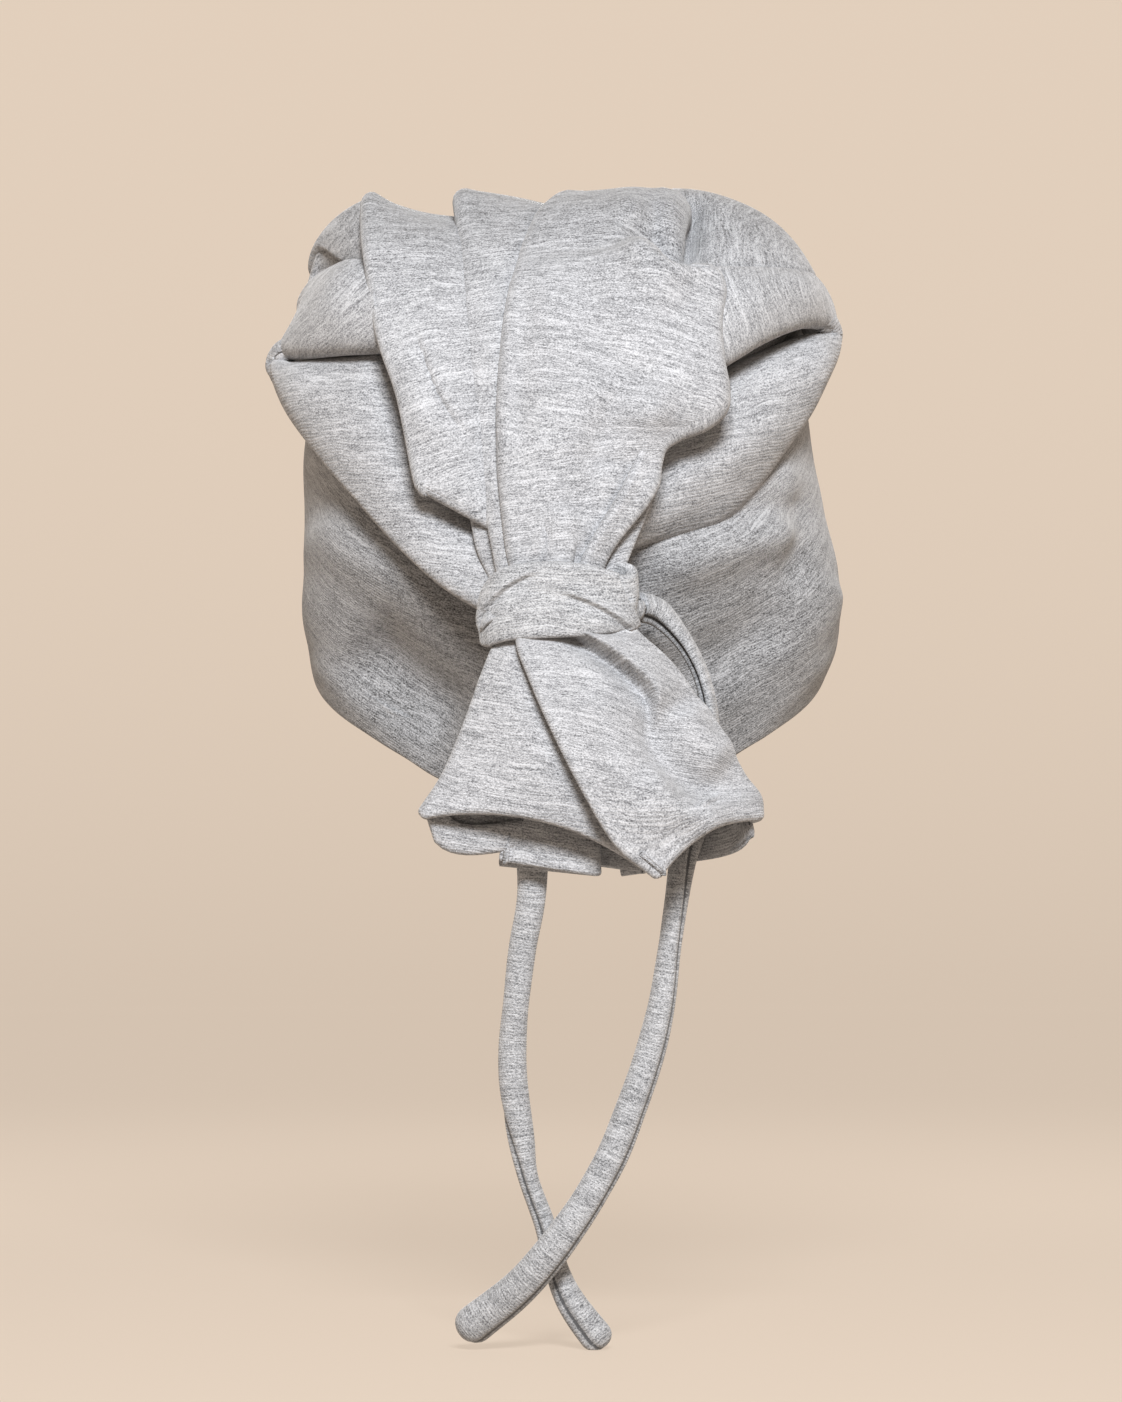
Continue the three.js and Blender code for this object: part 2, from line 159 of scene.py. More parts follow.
def shaped_grid(columns, rows, place):
    """A sheet of columns by rows quads. place(i, j) returns a point in metres and its knit coordinates."""
    bm = bmesh.new()
    bmesh.ops.create_grid(bm, x_segments=columns, y_segments=rows, size=0.5)
    uv_layer = bm.loops.layers.uv.new("knit")
    knit = {}
    for vert in bm.verts:
        i = round((vert.co.x + 0.5) * columns)
        j = round((vert.co.y + 0.5) * rows)
        vert.co, knit[vert] = place(i, j)
    for face in bm.faces:
        for loop in face.loops:
            loop[uv_layer].uv = knit[loop.vert]
    return bm


def give_thickness(piece, thickness):
    wall = piece.modifiers.new("cloth thickness", "SOLIDIFY")
    wall.thickness = thickness
    wall.offset = -1
    wall.use_even_offset = False


# %% [markdown]
# ## The two ties
# Each tie is a soft sewn tube of the same jersey, about 11 mm across. It leaves the knot, hangs behind the
# tail and comes out below it. Each station says how wide and thick it is there, because a cloth tube
# flattens where it bends and fills out at its closed end.

# %% Tie routes
TIE_WIDTH = 11 * MM
# columns: x, y, z of the centre line, then width and thickness. Every table here is in millimetres.
LEFT_TIE = [
    (-11, -99, -142, 10, 8), (-14.5, -93, -153, 11, 8), (-14.5, -91, -164, 11, 8),
    (-14.5, -90, -178, 11, 8), (-14, -90, -200, 11, 8), (-13.5, -91, -222, 11, 9),
    (-14, -91, -237, 9.9, 9), (-17, -90, -254, 9.6, 9), (-19.1, -90, -272, 9.1, 9),
    (-20.5, -89, -289, 9.7, 9), (-19.9, -89, -303, 9.9, 9), (-17.4, -88, -320, 9.3, 9),
    (-14.9, -87, -334, 7, 8.5), (-9.2, -86, -350, 7.4, 8.5), (-5.6, -86, -364, 8.2, 9),
    (0, -87, -377, 10.2, 10), (11.5, -87, -392.5, 12, 10.5),
]
RIGHT_TIE = [
    (17, -102, -136.3, 10.5, 9), (23.5, -96, -135.6, 10.5, 10), (30, -92, -137.5, 9.8, 11),
    (36, -90.5, -143.5, 7.6, 11), (41.2, -90, -151, 6.2, 11), (45.6, -90, -161, 5.8, 11),
    (48, -90, -174, 6.5, 11), (46.5, -90, -192, 8.5, 10), (43.5, -90, -208, 9.5, 10),
    (39, -91, -222, 9.4, 10), (36.5, -92, -237, 8.3, 10), (34, -93, -254, 8.1, 10),
    (31.6, -94, -271.5, 9.3, 10), (27.5, -95, -289, 10.5, 10), (21.8, -97, -306, 10.8, 10.5),
    (14.9, -99, -323.5, 11.2, 10.5), (5.6, -101, -340.5, 11.2, 10.5), (-6.4, -102, -357.5, 12.2, 10.5),
    (-19, -97, -372, 12.8, 11), (-38.3, -87, -388, 14.2, 11.5),
]

# %% Tie tubes
TIE_SIDES = 40
TIE_RINGS = 150
# the rings in each rounded end, the share of the route they cover, and how square the end is
TIE_END_RINGS = 9
TIE_END_SHARE = 0.022
TIE_END_POWER = 2.2
# the seam's width as a share of a turn, the tie's unevenness as a share of its width, and its length in mm
SEAM_WIDTH = 1 / 24
PUFF = 0.035
PUFF_LENGTH = 16


def ring_place(j):
    """The share of the way along a tie where ring j lies. The rings are closer in the rounded ends."""
    near = min(j, TIE_RINGS - j)
    if near < TIE_END_RINGS:
        share = TIE_END_SHARE * (1 - math.cos(math.pi / 2 * near / TIE_END_RINGS))
    else:
        share = blend(TIE_END_SHARE, 0.5, (near - TIE_END_RINGS) / (TIE_RINGS / 2 - TIE_END_RINGS))
    return share if j * 2 < TIE_RINGS else 1 - share


def tie_tube(name, stations, seam_turns, seam_depths, seam_moves):
    """A tie along its stations, with its seam at the first of seam_turns, and then at the second.

    A turn counts round the tie from its right side. The seam moves over between the two shares of the
    length in seam_moves, and its depth goes from the first of seam_depths to the second there.
    """
    centres = [Vector(through(stations, ring_place(j))[:3]) * MM for j in range(TIE_RINGS + 1)]
    lengths = lengths_along(centres)
    total = lengths[-1]

    def place(i, j):
        ahead = (centres[min(j + 1, TIE_RINGS)] - centres[max(j - 1, 0)]).normalized()
        depth_way = Vector((0, -1, 0))
        side_way = ahead.cross(depth_way).normalized()
        if side_way.x < 0:
            side_way.negate()
        depth_way = ahead.cross(side_way).normalized()
        if depth_way.y > 0:
            depth_way.negate()
        width, thick = through(stations, ring_place(j))[3:5]
        turn = i / TIE_SIDES
        angle = turn * 2 * math.pi
        end_round = width / 2 * MM
        to_end = min(lengths[j], total - lengths[j])
        close = (1 - (1 - min(to_end / end_round, 1.0)) ** TIE_END_POWER) ** (1 / TIE_END_POWER)
        moved = smooth(*seam_moves, lengths[j] / total)
        away = abs((turn - blend(*seam_turns, moved) + 0.5) % 1 - 0.5)
        groove = blend(*seam_depths, moved) * math.exp(-((away / SEAM_WIDTH) ** 2))
        cos, sin = math.cos(angle), math.sin(angle)
        puff = 1 + PUFF * noise.noise(Vector((cos, sin + len(name), lengths[j] / MM / PUFF_LENGTH)))
        radius_x = (width / 2 - groove) * puff * MM * close
        radius_y = (thick / 2 - groove) * puff * MM * close
        point = centres[j] + side_way * radius_x * cos + depth_way * radius_y * sin
        return point, (away * math.pi * TIE_WIDTH, lengths[j])

    bm = shaped_grid(TIE_SIDES, TIE_RINGS, place)
    bmesh.ops.remove_doubles(bm, verts=bm.verts, dist=0.01 * MM)
    bmesh.ops.recalc_face_normals(bm, faces=bm.faces)
    piece = new_piece(name, bm)
    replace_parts(piece, name)
    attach(piece, "root")
    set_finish(piece, "tie_jersey")
    print(name, "length", round(total * 1000), "mm")


tie_tube("tie_left", LEFT_TIE, (0.7, 0.34), (0.9, 0.9), (0.55, 0.75))
tie_tube("tie_right", RIGHT_TIE, (0.37, 0.07), (1.7, 0.9), (0.15, 0.5))

# %% [markdown]
# ## Folded cloth
# Jersey does not end in a cut line. It turns round a soft edge and goes back under itself. So the columns
# of a panel run through an under layer, a rolled edge, the face, a rolled edge and an under layer. Its last
# rows may turn up inside in the same way, as a hem. The face swells between its edges, and creases are
# drawn on it as they are seen from behind.

# %% Creases seen from behind
# how far a crease reaches, in its own widths, and how wide the step of a tuck is
CREASE_REACH = 3
TUCK_WALL = 0.45


def crease_rise(creases, point):
    """How far the creases lift the cloth at a point. Each is (height, width, [(x, z), ...]).

    A width above zero makes a soft ridge. A width below zero makes a tuck: the cloth stands up on the right
    of the line and falls away on its left, for someone who walks along it.
    """
    rise = 0.0
    for height, width, line in creases:
        best, place, side = 1e9, 0.0, 0.0
        for k in range(len(line) - 1):
            ax, az = line[k][0], line[k][1]
            bx, bz = line[k + 1][0], line[k + 1][1]
            dx, dz = bx - ax, bz - az
            share = ((point.x - ax) * dx + (point.z - az) * dz) / (dx * dx + dz * dz)
            share = min(max(share, 0.0), 1.0)
            away = math.hypot(point.x - ax - dx * share, point.z - az - dz * share)
            if away < best:
                best, place = away, (k + share) / (len(line) - 1)
                side = (point.x - ax) * dz - (point.z - az) * dx
        if best < CREASE_REACH * abs(width):
            # it fades in over its first quarter and out over its last
            fade = smooth(-0.02, 0.25, place) * smooth(1.02, 0.75, place)
            step = 1.0 if width > 0 else math.copysign(min(best / TUCK_WALL, 1.0), side)
            rise += height * fade * step * math.exp(-((best / width) ** 2))
    return rise


def rounded(points, steps=4):
    """The same line with a smooth curve through its points."""
    last = len(points) - 1
    return [through(points, k / (last * steps)) for k in range(last * steps + 1)]


# %% How the courses of the knit lie on a panel
BEND_LENGTH = 30


def along_run(turn=0, slopes=(0, 0)):
    """Courses across the run of a panel. Slopes down the run tilt them up towards edge b."""
    cos_turn, sin_turn = math.cos(math.radians(turn)), math.sin(math.radians(turn))
    table = [(slope,) for slope in slopes]

    def knit(point, s, down, v):
        along = s * cos_turn - down * sin_turn
        course = s * sin_turn + down * cos_turn + along * through(table, v)[0]
        return along, course

    return knit


def seen(angle, bend=0.0, middle=(0, 0), depth=0.0):
    """Courses that rise to the right by an angle in degrees, seen from behind, and bend about (x, z)."""
    cos, sin = math.cos(math.radians(angle)), math.sin(math.radians(angle))

    def knit(point, s, down, v):
        x, z = point.x - middle[0], point.z - middle[1]
        along = x * cos + z * sin
        course = x * sin - z * cos + bend * (along / BEND_LENGTH) ** 2 + depth * point.y
        return along, course

    return knit


def as_rows(value):
    """A number or a list of numbers as the rows of a table."""
    values = value if isinstance(value, (list, tuple)) else (value, value)
    return [(number,) for number in values]


# %% A panel of folded cloth
HEAD = Vector((0, 6, -95))
WALL = 1.4
UNDER = 9
ARC_STEPS = 7
UNDER_STEPS = 4
BEHIND_STEPS = 16
UNEVEN = 0.9
UNEVEN_SIZE = 21
# a hem's rows, how many of them turn it back, and how long the others are
HEM_STEPS, HEM_TURN_STEPS, HEM_ROW = 10, 6, 2.2
# a row just before the last one shows which way the cloth is going there
NEAR_RIM = 0.985


def hem_point(point, ahead, facing, step, radius, turn_steps, step_length):
    """A point of a hem so many steps past the rim, and how much cloth lies between the rim and it.

    The first steps turn back in a half circle and the others run up inside.
    """
    angle = math.pi * min(step, turn_steps) / turn_steps
    inside = max(step - turn_steps, 0) * step_length
    back = facing * radius * (1 - math.cos(angle))
    return point + ahead * (radius * math.sin(angle) - inside) - back, radius * angle + inside


def cloth_panel(
    name, stations, columns=46, rows=96, grain=None, roll_a=2, roll_b=2, behind_a=None, behind_b=None,
    hem=0, end_sag=0, behind_sag=0, lift=1, creases=(), stands_for=(), slot="drape_jersey",
):
    """stations: ax ay az bx by bz swell. Edge a is the left one as seen from behind, and edge b the right.

    grain says how the courses lie, and behind_a and behind_b say where the under layers end.
    """
    creases = [(height, width, rounded(line)) for height, width, line in creases]
    radius_a, radius_b = as_rows(roll_a), as_rows(roll_b)
    rail_cache = {}

    def rail(v):
        if v in rail_cache:
            return rail_cache[v]
        row = through(stations, v)
        later = through(stations, min(v + 0.01, 1.0))
        sooner = through(stations, max(v - 0.01, 0.0))
        a, b, swell = Vector(row[0:3]), Vector(row[3:6]), row[6]
        run_a = (Vector(later[0:3]) - Vector(sooner[0:3])).normalized()
        run_b = (Vector(later[3:6]) - Vector(sooner[3:6])).normalized()
        normal = (run_a + run_b).cross(b - a).normalized()
        out_a = run_a.cross(normal).normalized()
        out_b = normal.cross(run_b).normalized()
        lean = math.atan2(max(4 * swell, 0), (b - a).length)
        size_a, size_b = through(radius_a, v)[0], through(radius_b, v)[0]
        a = a - out_a * size_a * (1 - math.sin(lean))
        b = b - out_b * size_b * (1 - math.sin(lean))
        ahead = (run_a + run_b).normalized()
        rail_cache[v] = (a, b, swell, normal, out_a, out_b, lean, size_a, size_b, ahead)
        return rail_cache[v]

    def face(v, u):
        a, b, swell, normal = rail(v)[:4]
        base = a.lerp(b, u) + normal * (lift + swell * 4 * u * (1 - u))
        if end_sag:
            base += rail(v)[9] * end_sag * v**4 * 4 * u * (1 - u)
        uneven = UNEVEN * noise.noise(base / UNEVEN_SIZE) * min(1, 6 * u * (1 - u))
        return base + normal * (crease_rise(creases, base) + uneven)

    recipe = []
    under_a = UNDER_STEPS if behind_a is None else BEHIND_STEPS
    under_b = UNDER_STEPS if behind_b is None else BEHIND_STEPS
    if roll_a:
        recipe += [("under_a", k / under_a) for k in range(under_a, 0, -1)]
        recipe += [("arc_a", 1 - k / ARC_STEPS) for k in range(ARC_STEPS)]
    recipe += [("face", k / columns) for k in range(columns + 1)]
    if roll_b:
        recipe += [("arc_b", (k + 1) / ARC_STEPS) for k in range(ARC_STEPS)]
        recipe += [("under_b", (k + 1) / under_b) for k in range(under_b)]

    def section(v, kind, t):
        """A point, the outward normal there and the distance across the cloth from the panel's middle."""
        a, b, swell, normal, out_a, out_b, lean, size_a, size_b, ahead = rail(v)
        half = (b - a).length / 2
        if kind == "face":
            slant = math.tan(lean) * (2 * t - 1)
            facing = (normal + (b - a).normalized() * slant).normalized()
            return face(v, t), facing, half * (2 * t - 1)
        on_a = kind.endswith("_a")
        edge, out, radius = (face(v, 0), out_a, size_a) if on_a else (face(v, 1), out_b, size_b)
        side = -1 if on_a else 1
        centre = edge - (normal * math.cos(lean) + out * math.sin(lean)) * radius
        if kind.startswith("arc"):
            angle = blend(lean, math.pi, t)
            facing = normal * math.cos(angle) + out * math.sin(angle)
            return centre + facing * radius, facing, side * (half + radius * (angle - lean))
        back = centre - normal * radius
        reach = half + radius * (math.pi - lean)
        behind = behind_a if on_a else behind_b
        if behind is None:
            width = min(UNDER, half * 1.2)
            return back - out * width * t, -normal, side * (reach + width * t)
        far = Vector(through(behind, v))
        hang = ahead * behind_sag * v**4 * math.sin(math.pi * math.sqrt(t))
        return back.lerp(far, t) + hang, -normal, side * (reach + (far - back).length * t)

    run = lengths_along([face(j / rows, 0.5) for j in range(rows + 1)])
    hem_steps = HEM_STEPS if hem else 0
    knit = grain or along_run()

    def place(i, j):
        kind, t = recipe[i]
        if j <= rows:
            point, facing, s = section(j / rows, kind, t)
            down = run[j]
        else:
            point, facing, s = section(1.0, kind, t)
            ahead = (point - section(NEAR_RIM, kind, t)[0]).normalized()
            point, turned = hem_point(point, ahead, facing, j - rows, hem, HEM_TURN_STEPS, HEM_ROW)
            down = run[-1] + turned
        along, course = knit(point, s, down, j / rows)
        return point * MM, (along * MM, course * MM)

    bm = shaped_grid(len(recipe) - 1, rows + hem_steps, place)
    if sum(f.normal.dot(f.calc_center_median() - HEAD * MM) for f in bm.faces) < 0:
        bmesh.ops.reverse_faces(bm, faces=bm.faces)
    area = sum(f.calc_area() for f in bm.faces)
    cut_width = max(
        sum((Vector(place(i + 1, j)[0]) - Vector(place(i, j)[0])).length for i in range(len(recipe) - 1))
        for j in range(0, rows + 1, rows // 6)
    )
    piece = new_piece(name, bm)
    give_thickness(piece, WALL * MM)
    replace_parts(piece, name, *stands_for)
    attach(piece, "root")
    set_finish(piece, slot)


# %% [markdown]
# ## The cap
# The cap is a deep jersey shell. Its rim rises from the nape to the brow, and the knot pulls its back
# outward. The outline is two short tables, one read by turn and one by height, and the creases that run to
# the knot are drawn on it.

# %% The cap's form
CAP_TOP = 4
CAP_HALF_BACK = 82
CAP_HALF_FRONT = 96
CROWN_SHARE = 0.6
CROWN_FULLNESS = 2.8
KNOT = Vector((-4, -108.5, -134))
KNOT_PULL = 10
KNOT_PULL_REACH = 42
CAP_RUMPLE = 2.2
CAP_RUMPLE_SIZE = (45, 70, 24)

# columns: turn from the nape (-1) over the ear (0) to the brow (1), height of the rim
RIM = [
    (-1, -205.5), (-0.8, -202), (-0.63, -195), (-0.5, -186.5), (-0.37, -179), (-0.22, -171.5),
    (-0.1, -165), (0, -159), (0.35, -138), (0.7, -108), (1, -90),
]
# columns: height, half width to the left, half width to the right, share of the full depth
SIDES = [
    (-215, 80, 78, 0.52), (-180, 87, 84, 0.69), (-165, 91.5, 89.5, 0.78), (-150, 95, 95, 0.86),
    (-135, 96.5, 97.5, 0.92), (-120, 96.5, 96.5, 0.97), (-100, 96, 91.5, 1), (-80, 96, 88, 1),
    (-60, 95.5, 86, 1), (-40, 95, 92, 1), (-15, 95, 95, 1),
]


def read_table(table, place):
    """The other columns of a table at a value of its first column, on a smooth curve."""
    last = len(table) - 1
    place = min(max(place, table[0][0]), table[last][0])
    k = 0
    while k < last - 1 and place > table[k + 1][0]:
        k += 1

    here, after = table[k], table[k + 1]
    gap = after[0] - here[0]

    def slope(n, c):
        low, high = table[max(n - 1, 0)], table[min(n + 1, last)]
        return (high[c] - low[c]) / (high[0] - low[0]) * gap

    s = (place - here[0]) / gap
    return [curve(s, here[c], after[c], slope(k, c), slope(k + 1, c)) for c in range(1, len(here))]


# %% Creases of the cap
# columns: height, width, line of (x, z)
CAP_CREASES = [
    (1.8, 5, [(-93, -150), (-76, -170), (-52, -188)]),
    (-10, 13, [(-80, -144), (-60, -159), (-34, -176)]),
    (6, 13, [(-92, -98), (-68, -119), (-30, -142)]),
    (-3, 5, [(90, -96), (78, -98.5), (60, -102), (30, -110)]),
    (6, 8, [(86, -104), (66, -111), (48, -118), (24, -128)]),
    (-3, 6, [(79, -98), (81, -112), (75, -132)]),
    (2, 4, [(72, -84), (78, -91), (80, -98)]),
    (-6.5, 12, [(80, -138), (56, -150), (30, -162)]),
    (4, 9, [(97, -122), (86, -140), (66, -160)]),
    (1.8, 5, [(94, -148), (76, -169), (58, -184)]),
]


def cap_point(turn, v, bare=False):
    """turn is an angle from +X towards +Y, v runs from the crown (0) to the rim (1)."""
    cos, sin = math.cos(turn), math.sin(turn)
    rim = read_table(RIM, 2 / math.pi * math.asin(max(-1.0, min(1.0, sin))))[0]
    upper = min(v / CROWN_SHARE, 1)
    lower = max((v - CROWN_SHARE) / (1 - CROWN_SHARE), 0)
    sweep = upper * math.pi / 2
    spread = math.sin(sweep) ** (2 / CROWN_FULLNESS)
    rise = max(math.cos(sweep), 0.0) ** (2 / CROWN_FULLNESS)
    waist = max(HEAD.z, rim + 6)
    z = waist - (waist - rim) * lower if lower > 0 else waist + (CAP_TOP - waist) * rise
    left, right, depth = read_table(SIDES, z)
    half_width = left + (right - left) * smooth(-0.35, 0.35, cos)
    half_depth = (CAP_HALF_BACK if sin < 0 else CAP_HALF_FRONT) * depth
    point = Vector((half_width * spread * cos, HEAD.y + half_depth * spread * sin, z))
    rumple = noise.noise(Vector(c / size for c, size in zip((point.x, point.y, z), CAP_RUMPLE_SIZE)))
    point += Vector((cos, sin, 0)) * CAP_RUMPLE * rumple * smooth(0, 0.35, v) * smooth(1, 0.9, v)
    if sin < 0:
        near = math.hypot(point.x - KNOT.x, (z - KNOT.z) * 0.8) / KNOT_PULL_REACH
        point.y -= KNOT_PULL * math.exp(-near * near)
        if not bare:
            out = Vector((cos, sin, 0))
            point += out * crease_rise(CAP_LINES, point) * smooth(0, -0.3, sin)
    return point


CAP_LINES = [(height, width, rounded(line)) for height, width, line in CAP_CREASES]

# %% Cap mesh
CAP_AROUND = 190
CAP_DOWN = 104
CAP_HEM = 2.2
CAP_HEM_STEPS, CAP_HEM_TURN_STEPS, CAP_HEM_ROW = 12, 7, 3
# the share of the way down where the length round the cap is taken
GIRTH_AT = 0.62
# the courses hang by so much over so much of the way round from the nape to the brow
COURSE_HANG = 74
COURSE_HANG_REACH = 205
# in front of this depth the courses turn to cross the crown, softly and then at this slope
COURSE_FRONT = 8
COURSE_FRONT_SOFT = 15
COURSE_FRONT_SLOPE = 0.45


def cap_course(point, arc):
    """Where the knit's courses lie. They hang towards the knot behind, and cross the crown sideways."""
    hang = COURSE_HANG * smooth(0, COURSE_HANG_REACH, abs(arc))
    ahead = max(point.y - COURSE_FRONT, 0)
    front = COURSE_FRONT_SLOPE * ahead**2 / (ahead + COURSE_FRONT_SOFT)
    return -point.z + front + hang


def make_cap():
    def turn(i):
        return 2 * math.pi * i / CAP_AROUND - math.pi / 2

    girth = [cap_point(turn(i), GIRTH_AT, True) for i in range(CAP_AROUND + 1)]
    arcs = lengths_along([p.xy for p in girth])
    whole = arcs[-1]
    cache = {}

    def outside(i, v):
        key = (i % CAP_AROUND, v)
        if key not in cache:
            cache[key] = cap_point(turn(key[0]), v)
        return cache[key]

    def place(i, j):
        arc = arcs[i] if arcs[i] < whole / 2 else arcs[i] - whole
        v = min(j / CAP_DOWN, 1.0)
        point = outside(i, v).copy()
        course = cap_course(point, arc)
        if j > CAP_DOWN:
            ahead = (point - outside(i, NEAR_RIM)).normalized()
            along = (outside(i + 1, 1.0) - outside(i - 1, 1.0)).normalized()
            facing = ahead.cross(along).normalized()
            if facing.dot(point - HEAD) < 0:
                facing.negate()
            size = (CAP_HEM, CAP_HEM_TURN_STEPS, CAP_HEM_ROW)
            point, turned = hem_point(point, ahead, facing, j - CAP_DOWN, *size)
            course += turned
        return point * MM, (arc * MM, course * MM)

    bm = shaped_grid(CAP_AROUND, CAP_DOWN + CAP_HEM_STEPS, place)
    bmesh.ops.remove_doubles(bm, verts=bm.verts, dist=0.02 * MM)
    bmesh.ops.recalc_face_normals(bm, faces=bm.faces)
    piece = new_piece("cap", bm)
    give_thickness(piece, WALL * MM)
    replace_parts(piece, "cap")
    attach(piece, "root")
    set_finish(piece, "cap_jersey")
    print("cap", [round(x * 1000) for x in piece.dimensions])


make_cap()

# %% [markdown]
# ## The drawn-back crown
# The cloth over the crown is drawn back in five folds. The widest lies in the middle and falls to the knot;
# a narrow pleat and a flap lie on its left, and a full fold lies on each side of the head. Each panel is a
# table of stations from the front of the crown to the knot.

# %% Middle of the drape
# columns: ax ay az bx by bz swell
DRAPE_CENTRE = [
    (-2, 26, -5, 36, 26, -9, 0),
    (-2, -4, 9, 41, -4, 10.5, 0),
    (-4, -28, 11.5, 41.5, -28, 12.8, 0),
    (-11, -47, 5, 40, -45, 6.5, 1.5),
    (-15.5, -62, -6, 39, -57, -7, 3),
    (-17.5, -69, -13, 40, -64, -13.5, 4),
    (-19, -74, -18, 49.5, -70, -16.5, 5),
    (-20.5, -79, -24, 53, -73, -23, 6),
    (-22.3, -86, -35, 51.5, -80, -35, 6),
    (-23.8, -92, -50, 52.2, -88, -48, 6),
    (-24.4, -96, -61, 54, -92, -58.5, 6),
    (-24.6, -98, -68, 53, -94, -66.5, 6),
    (-24.6, -99.5, -73, 46.5, -95.5, -72.3, 6),
    (-24.5, -100.5, -77, 38, -97, -75.8, 5.5),
    (-24.4, -102, -82, 32.3, -98.5, -80, 5),
    (-24.2, -103, -87, 30.2, -99.5, -86, 4.5),
    (-23.8, -104.5, -93, 29.2, -101.5, -93, 4),
    (-23, -106.5, -101, 24.8, -103.5, -101, 3.5),
    (-21.5, -109, -115, 14.5, -107.5, -114, 2.5),
    (-20, -110.5, -123, 9.8, -110, -123, 2),
    (-18, -112, -134, 8, -112, -134, 1),
]
# columns: x y z of the cloth that turns back under its right side
DRAPE_CENTRE_BEHIND = [
    (12, 20, -12), (16, -20, -8), (18, -45, -22), (26, -58, -36), (28, -66, -54), (26, -70, -68),
    (22, -78, -82), (16, -86, -96), (8, -98, -116), (2, -106, -134),
]
cloth_panel(
    "drape_centre", DRAPE_CENTRE,
    grain=along_run(slopes=[0, 0, 0.05, -0.05, -0.2, -0.25, -0.3, -0.2, 0.1, 0.1, 0, 0]),
    roll_a=2.8, roll_b=[8, 8, 9, 9, 7, 3, 2.5, 2.5, 3, 4, 5, 5.5, 4.5, 3.5, 2.5, 2, 2, 2, 2, 2, 2],
    behind_b=DRAPE_CENTRE_BEHIND, columns=90, rows=230,
    creases=[
        (3, 6, [(18, 14), (22, -4), (27, -20), (38, -32)]),
        (-3.5, 5, [(30, 14), (31, -2), (33, -12)]),
        (3.4, -5, [(14, -7), (24, -9.5), (29.8, -12.5), (33, -16.3), (39, -17.8), (50, -18)]),
        (-5.5, 5, [(16, -1), (27, -5), (34, -10), (44, -11)]),
        (3, 5, [(30, 12), (34, 2), (36, -6)]),
        (-3, 9, [(2, -4), (6, -30), (16, -52), (36, -62)]),
        (2.5, 8, [(4, -60), (20, -66), (36, -69)]),
        (2, 9, [(12, -84), (8, -100), (0, -118)]),
        (-3.5, 6, [(18, -56), (12, -71), (7, -92), (3, -119)]),
        (-2.4, -5, [(25, -80), (18.5, -95), (11, -108), (4.5, -120), (2, -131)]),
        (2, 4, [(31, -90), (23, -102), (12, -119)]),
        (2, 5, [(-2, -100), (-6, -124)]),
        (1, -3, [(1, -112), (-1, -121), (-4, -131)]),
        (0.9, -3, [(-9, -108), (-10, -119), (-12, -131)]),
        (-1.8, 5, [(-14, -20), (-17, -50), (-18, -84)]),
    ],
)

# %% Pleat beside it
DRAPE_PLEAT = [
    (-34, 24, -7, 0, 24, -5, 0),
    (-39.5, -4, 10, 4, -4, 5, 0),
    (-40.5, -26, 12.5, 2, -26, 5.5, -1),
    (-39.5, -45, 1, -5, -46, 0, 1),
    (-37, -68, -20, -10, -66, -18, 2),
    (-35.5, -83, -46, -14, -83, -45, 2),
    (-33, -90, -72, -16, -91, -72, 2),
    (-30, -96, -95, -16, -98, -95, 2),
    (-25, -105, -122, -15, -107, -122, 1),
    (-22.5, -108, -134, -14, -109, -134, 1),
]
cloth_panel("drape_pleat", DRAPE_PLEAT, roll_a=[3, 3, 2, 1.4, 1.4], roll_b=0, columns=30, rows=130)

# %% Flap on the left
DRAPE_FLAP_LEFT = [
    (-56, 22, -15, -30, 24, -7, 0),
    (-70, -6, 7, -32, -4, 2, -1),
    (-73, -24, 11.5, -34, -26, 1.5, -2.5),
    (-73.2, -45, 0, -33, -46, -5, 1),
    (-71.5, -61, -14, -31, -64, -20, 2),
    (-67, -77, -40, -30, -81, -46, 3),
    (-59.5, -86.5, -63, -28, -89, -72, 3),
    (-54, -93, -90, -26, -96, -98, 2),
    (-52, -94, -95, -25, -98, -108, 1),
]
cloth_panel(
    "drape_flap_left", DRAPE_FLAP_LEFT, grain=along_run(slopes=[0, 0, 0, 0.1, 0.5, 0.6, 0.5]),
    roll_b=0, hem=1.4, columns=40, rows=120,
    creases=[
        (-1, -5, [(-54, -38), (-49, -52), (-44, -64), (-34, -78)]),
        (1.5, 6, [(-60, -44), (-55, -62), (-46, -80)]),
    ],
)

# %% Strands tucked beside the drape at the knot
DRAPE_TUCK_RIGHT = [
    (18, -88, -66, 36, -86, -70, 0),
    (18, -91, -80, 32, -91, -82, 1),
    (16, -96, -92, 30, -95, -92, 1),
    (13, -100, -103, 26.5, -98, -103, 1),
    (8, -105, -118, 20, -103, -119, 1),
    (5, -108, -134, 15, -106, -134, 1),
]
cloth_panel(
    "drape_tuck_right", DRAPE_TUCK_RIGHT, grain=along_run(slopes=(0.4, 0.5)), roll_a=0, columns=14, rows=80
)

DRAPE_TUCK_LEFT = [
    (-38, -88, -94, -22, -92, -92, 1),
    (-35.5, -92, -104, -20, -96, -104, 1),
    (-33, -96, -116, -18, -101, -116, 1),
    (-28, -101, -127, -16, -104, -127, 1),
    (-25, -103, -134, -14, -105, -134, 1),
]
cloth_panel("drape_tuck_left", DRAPE_TUCK_LEFT, roll_b=0, columns=16, rows=50)

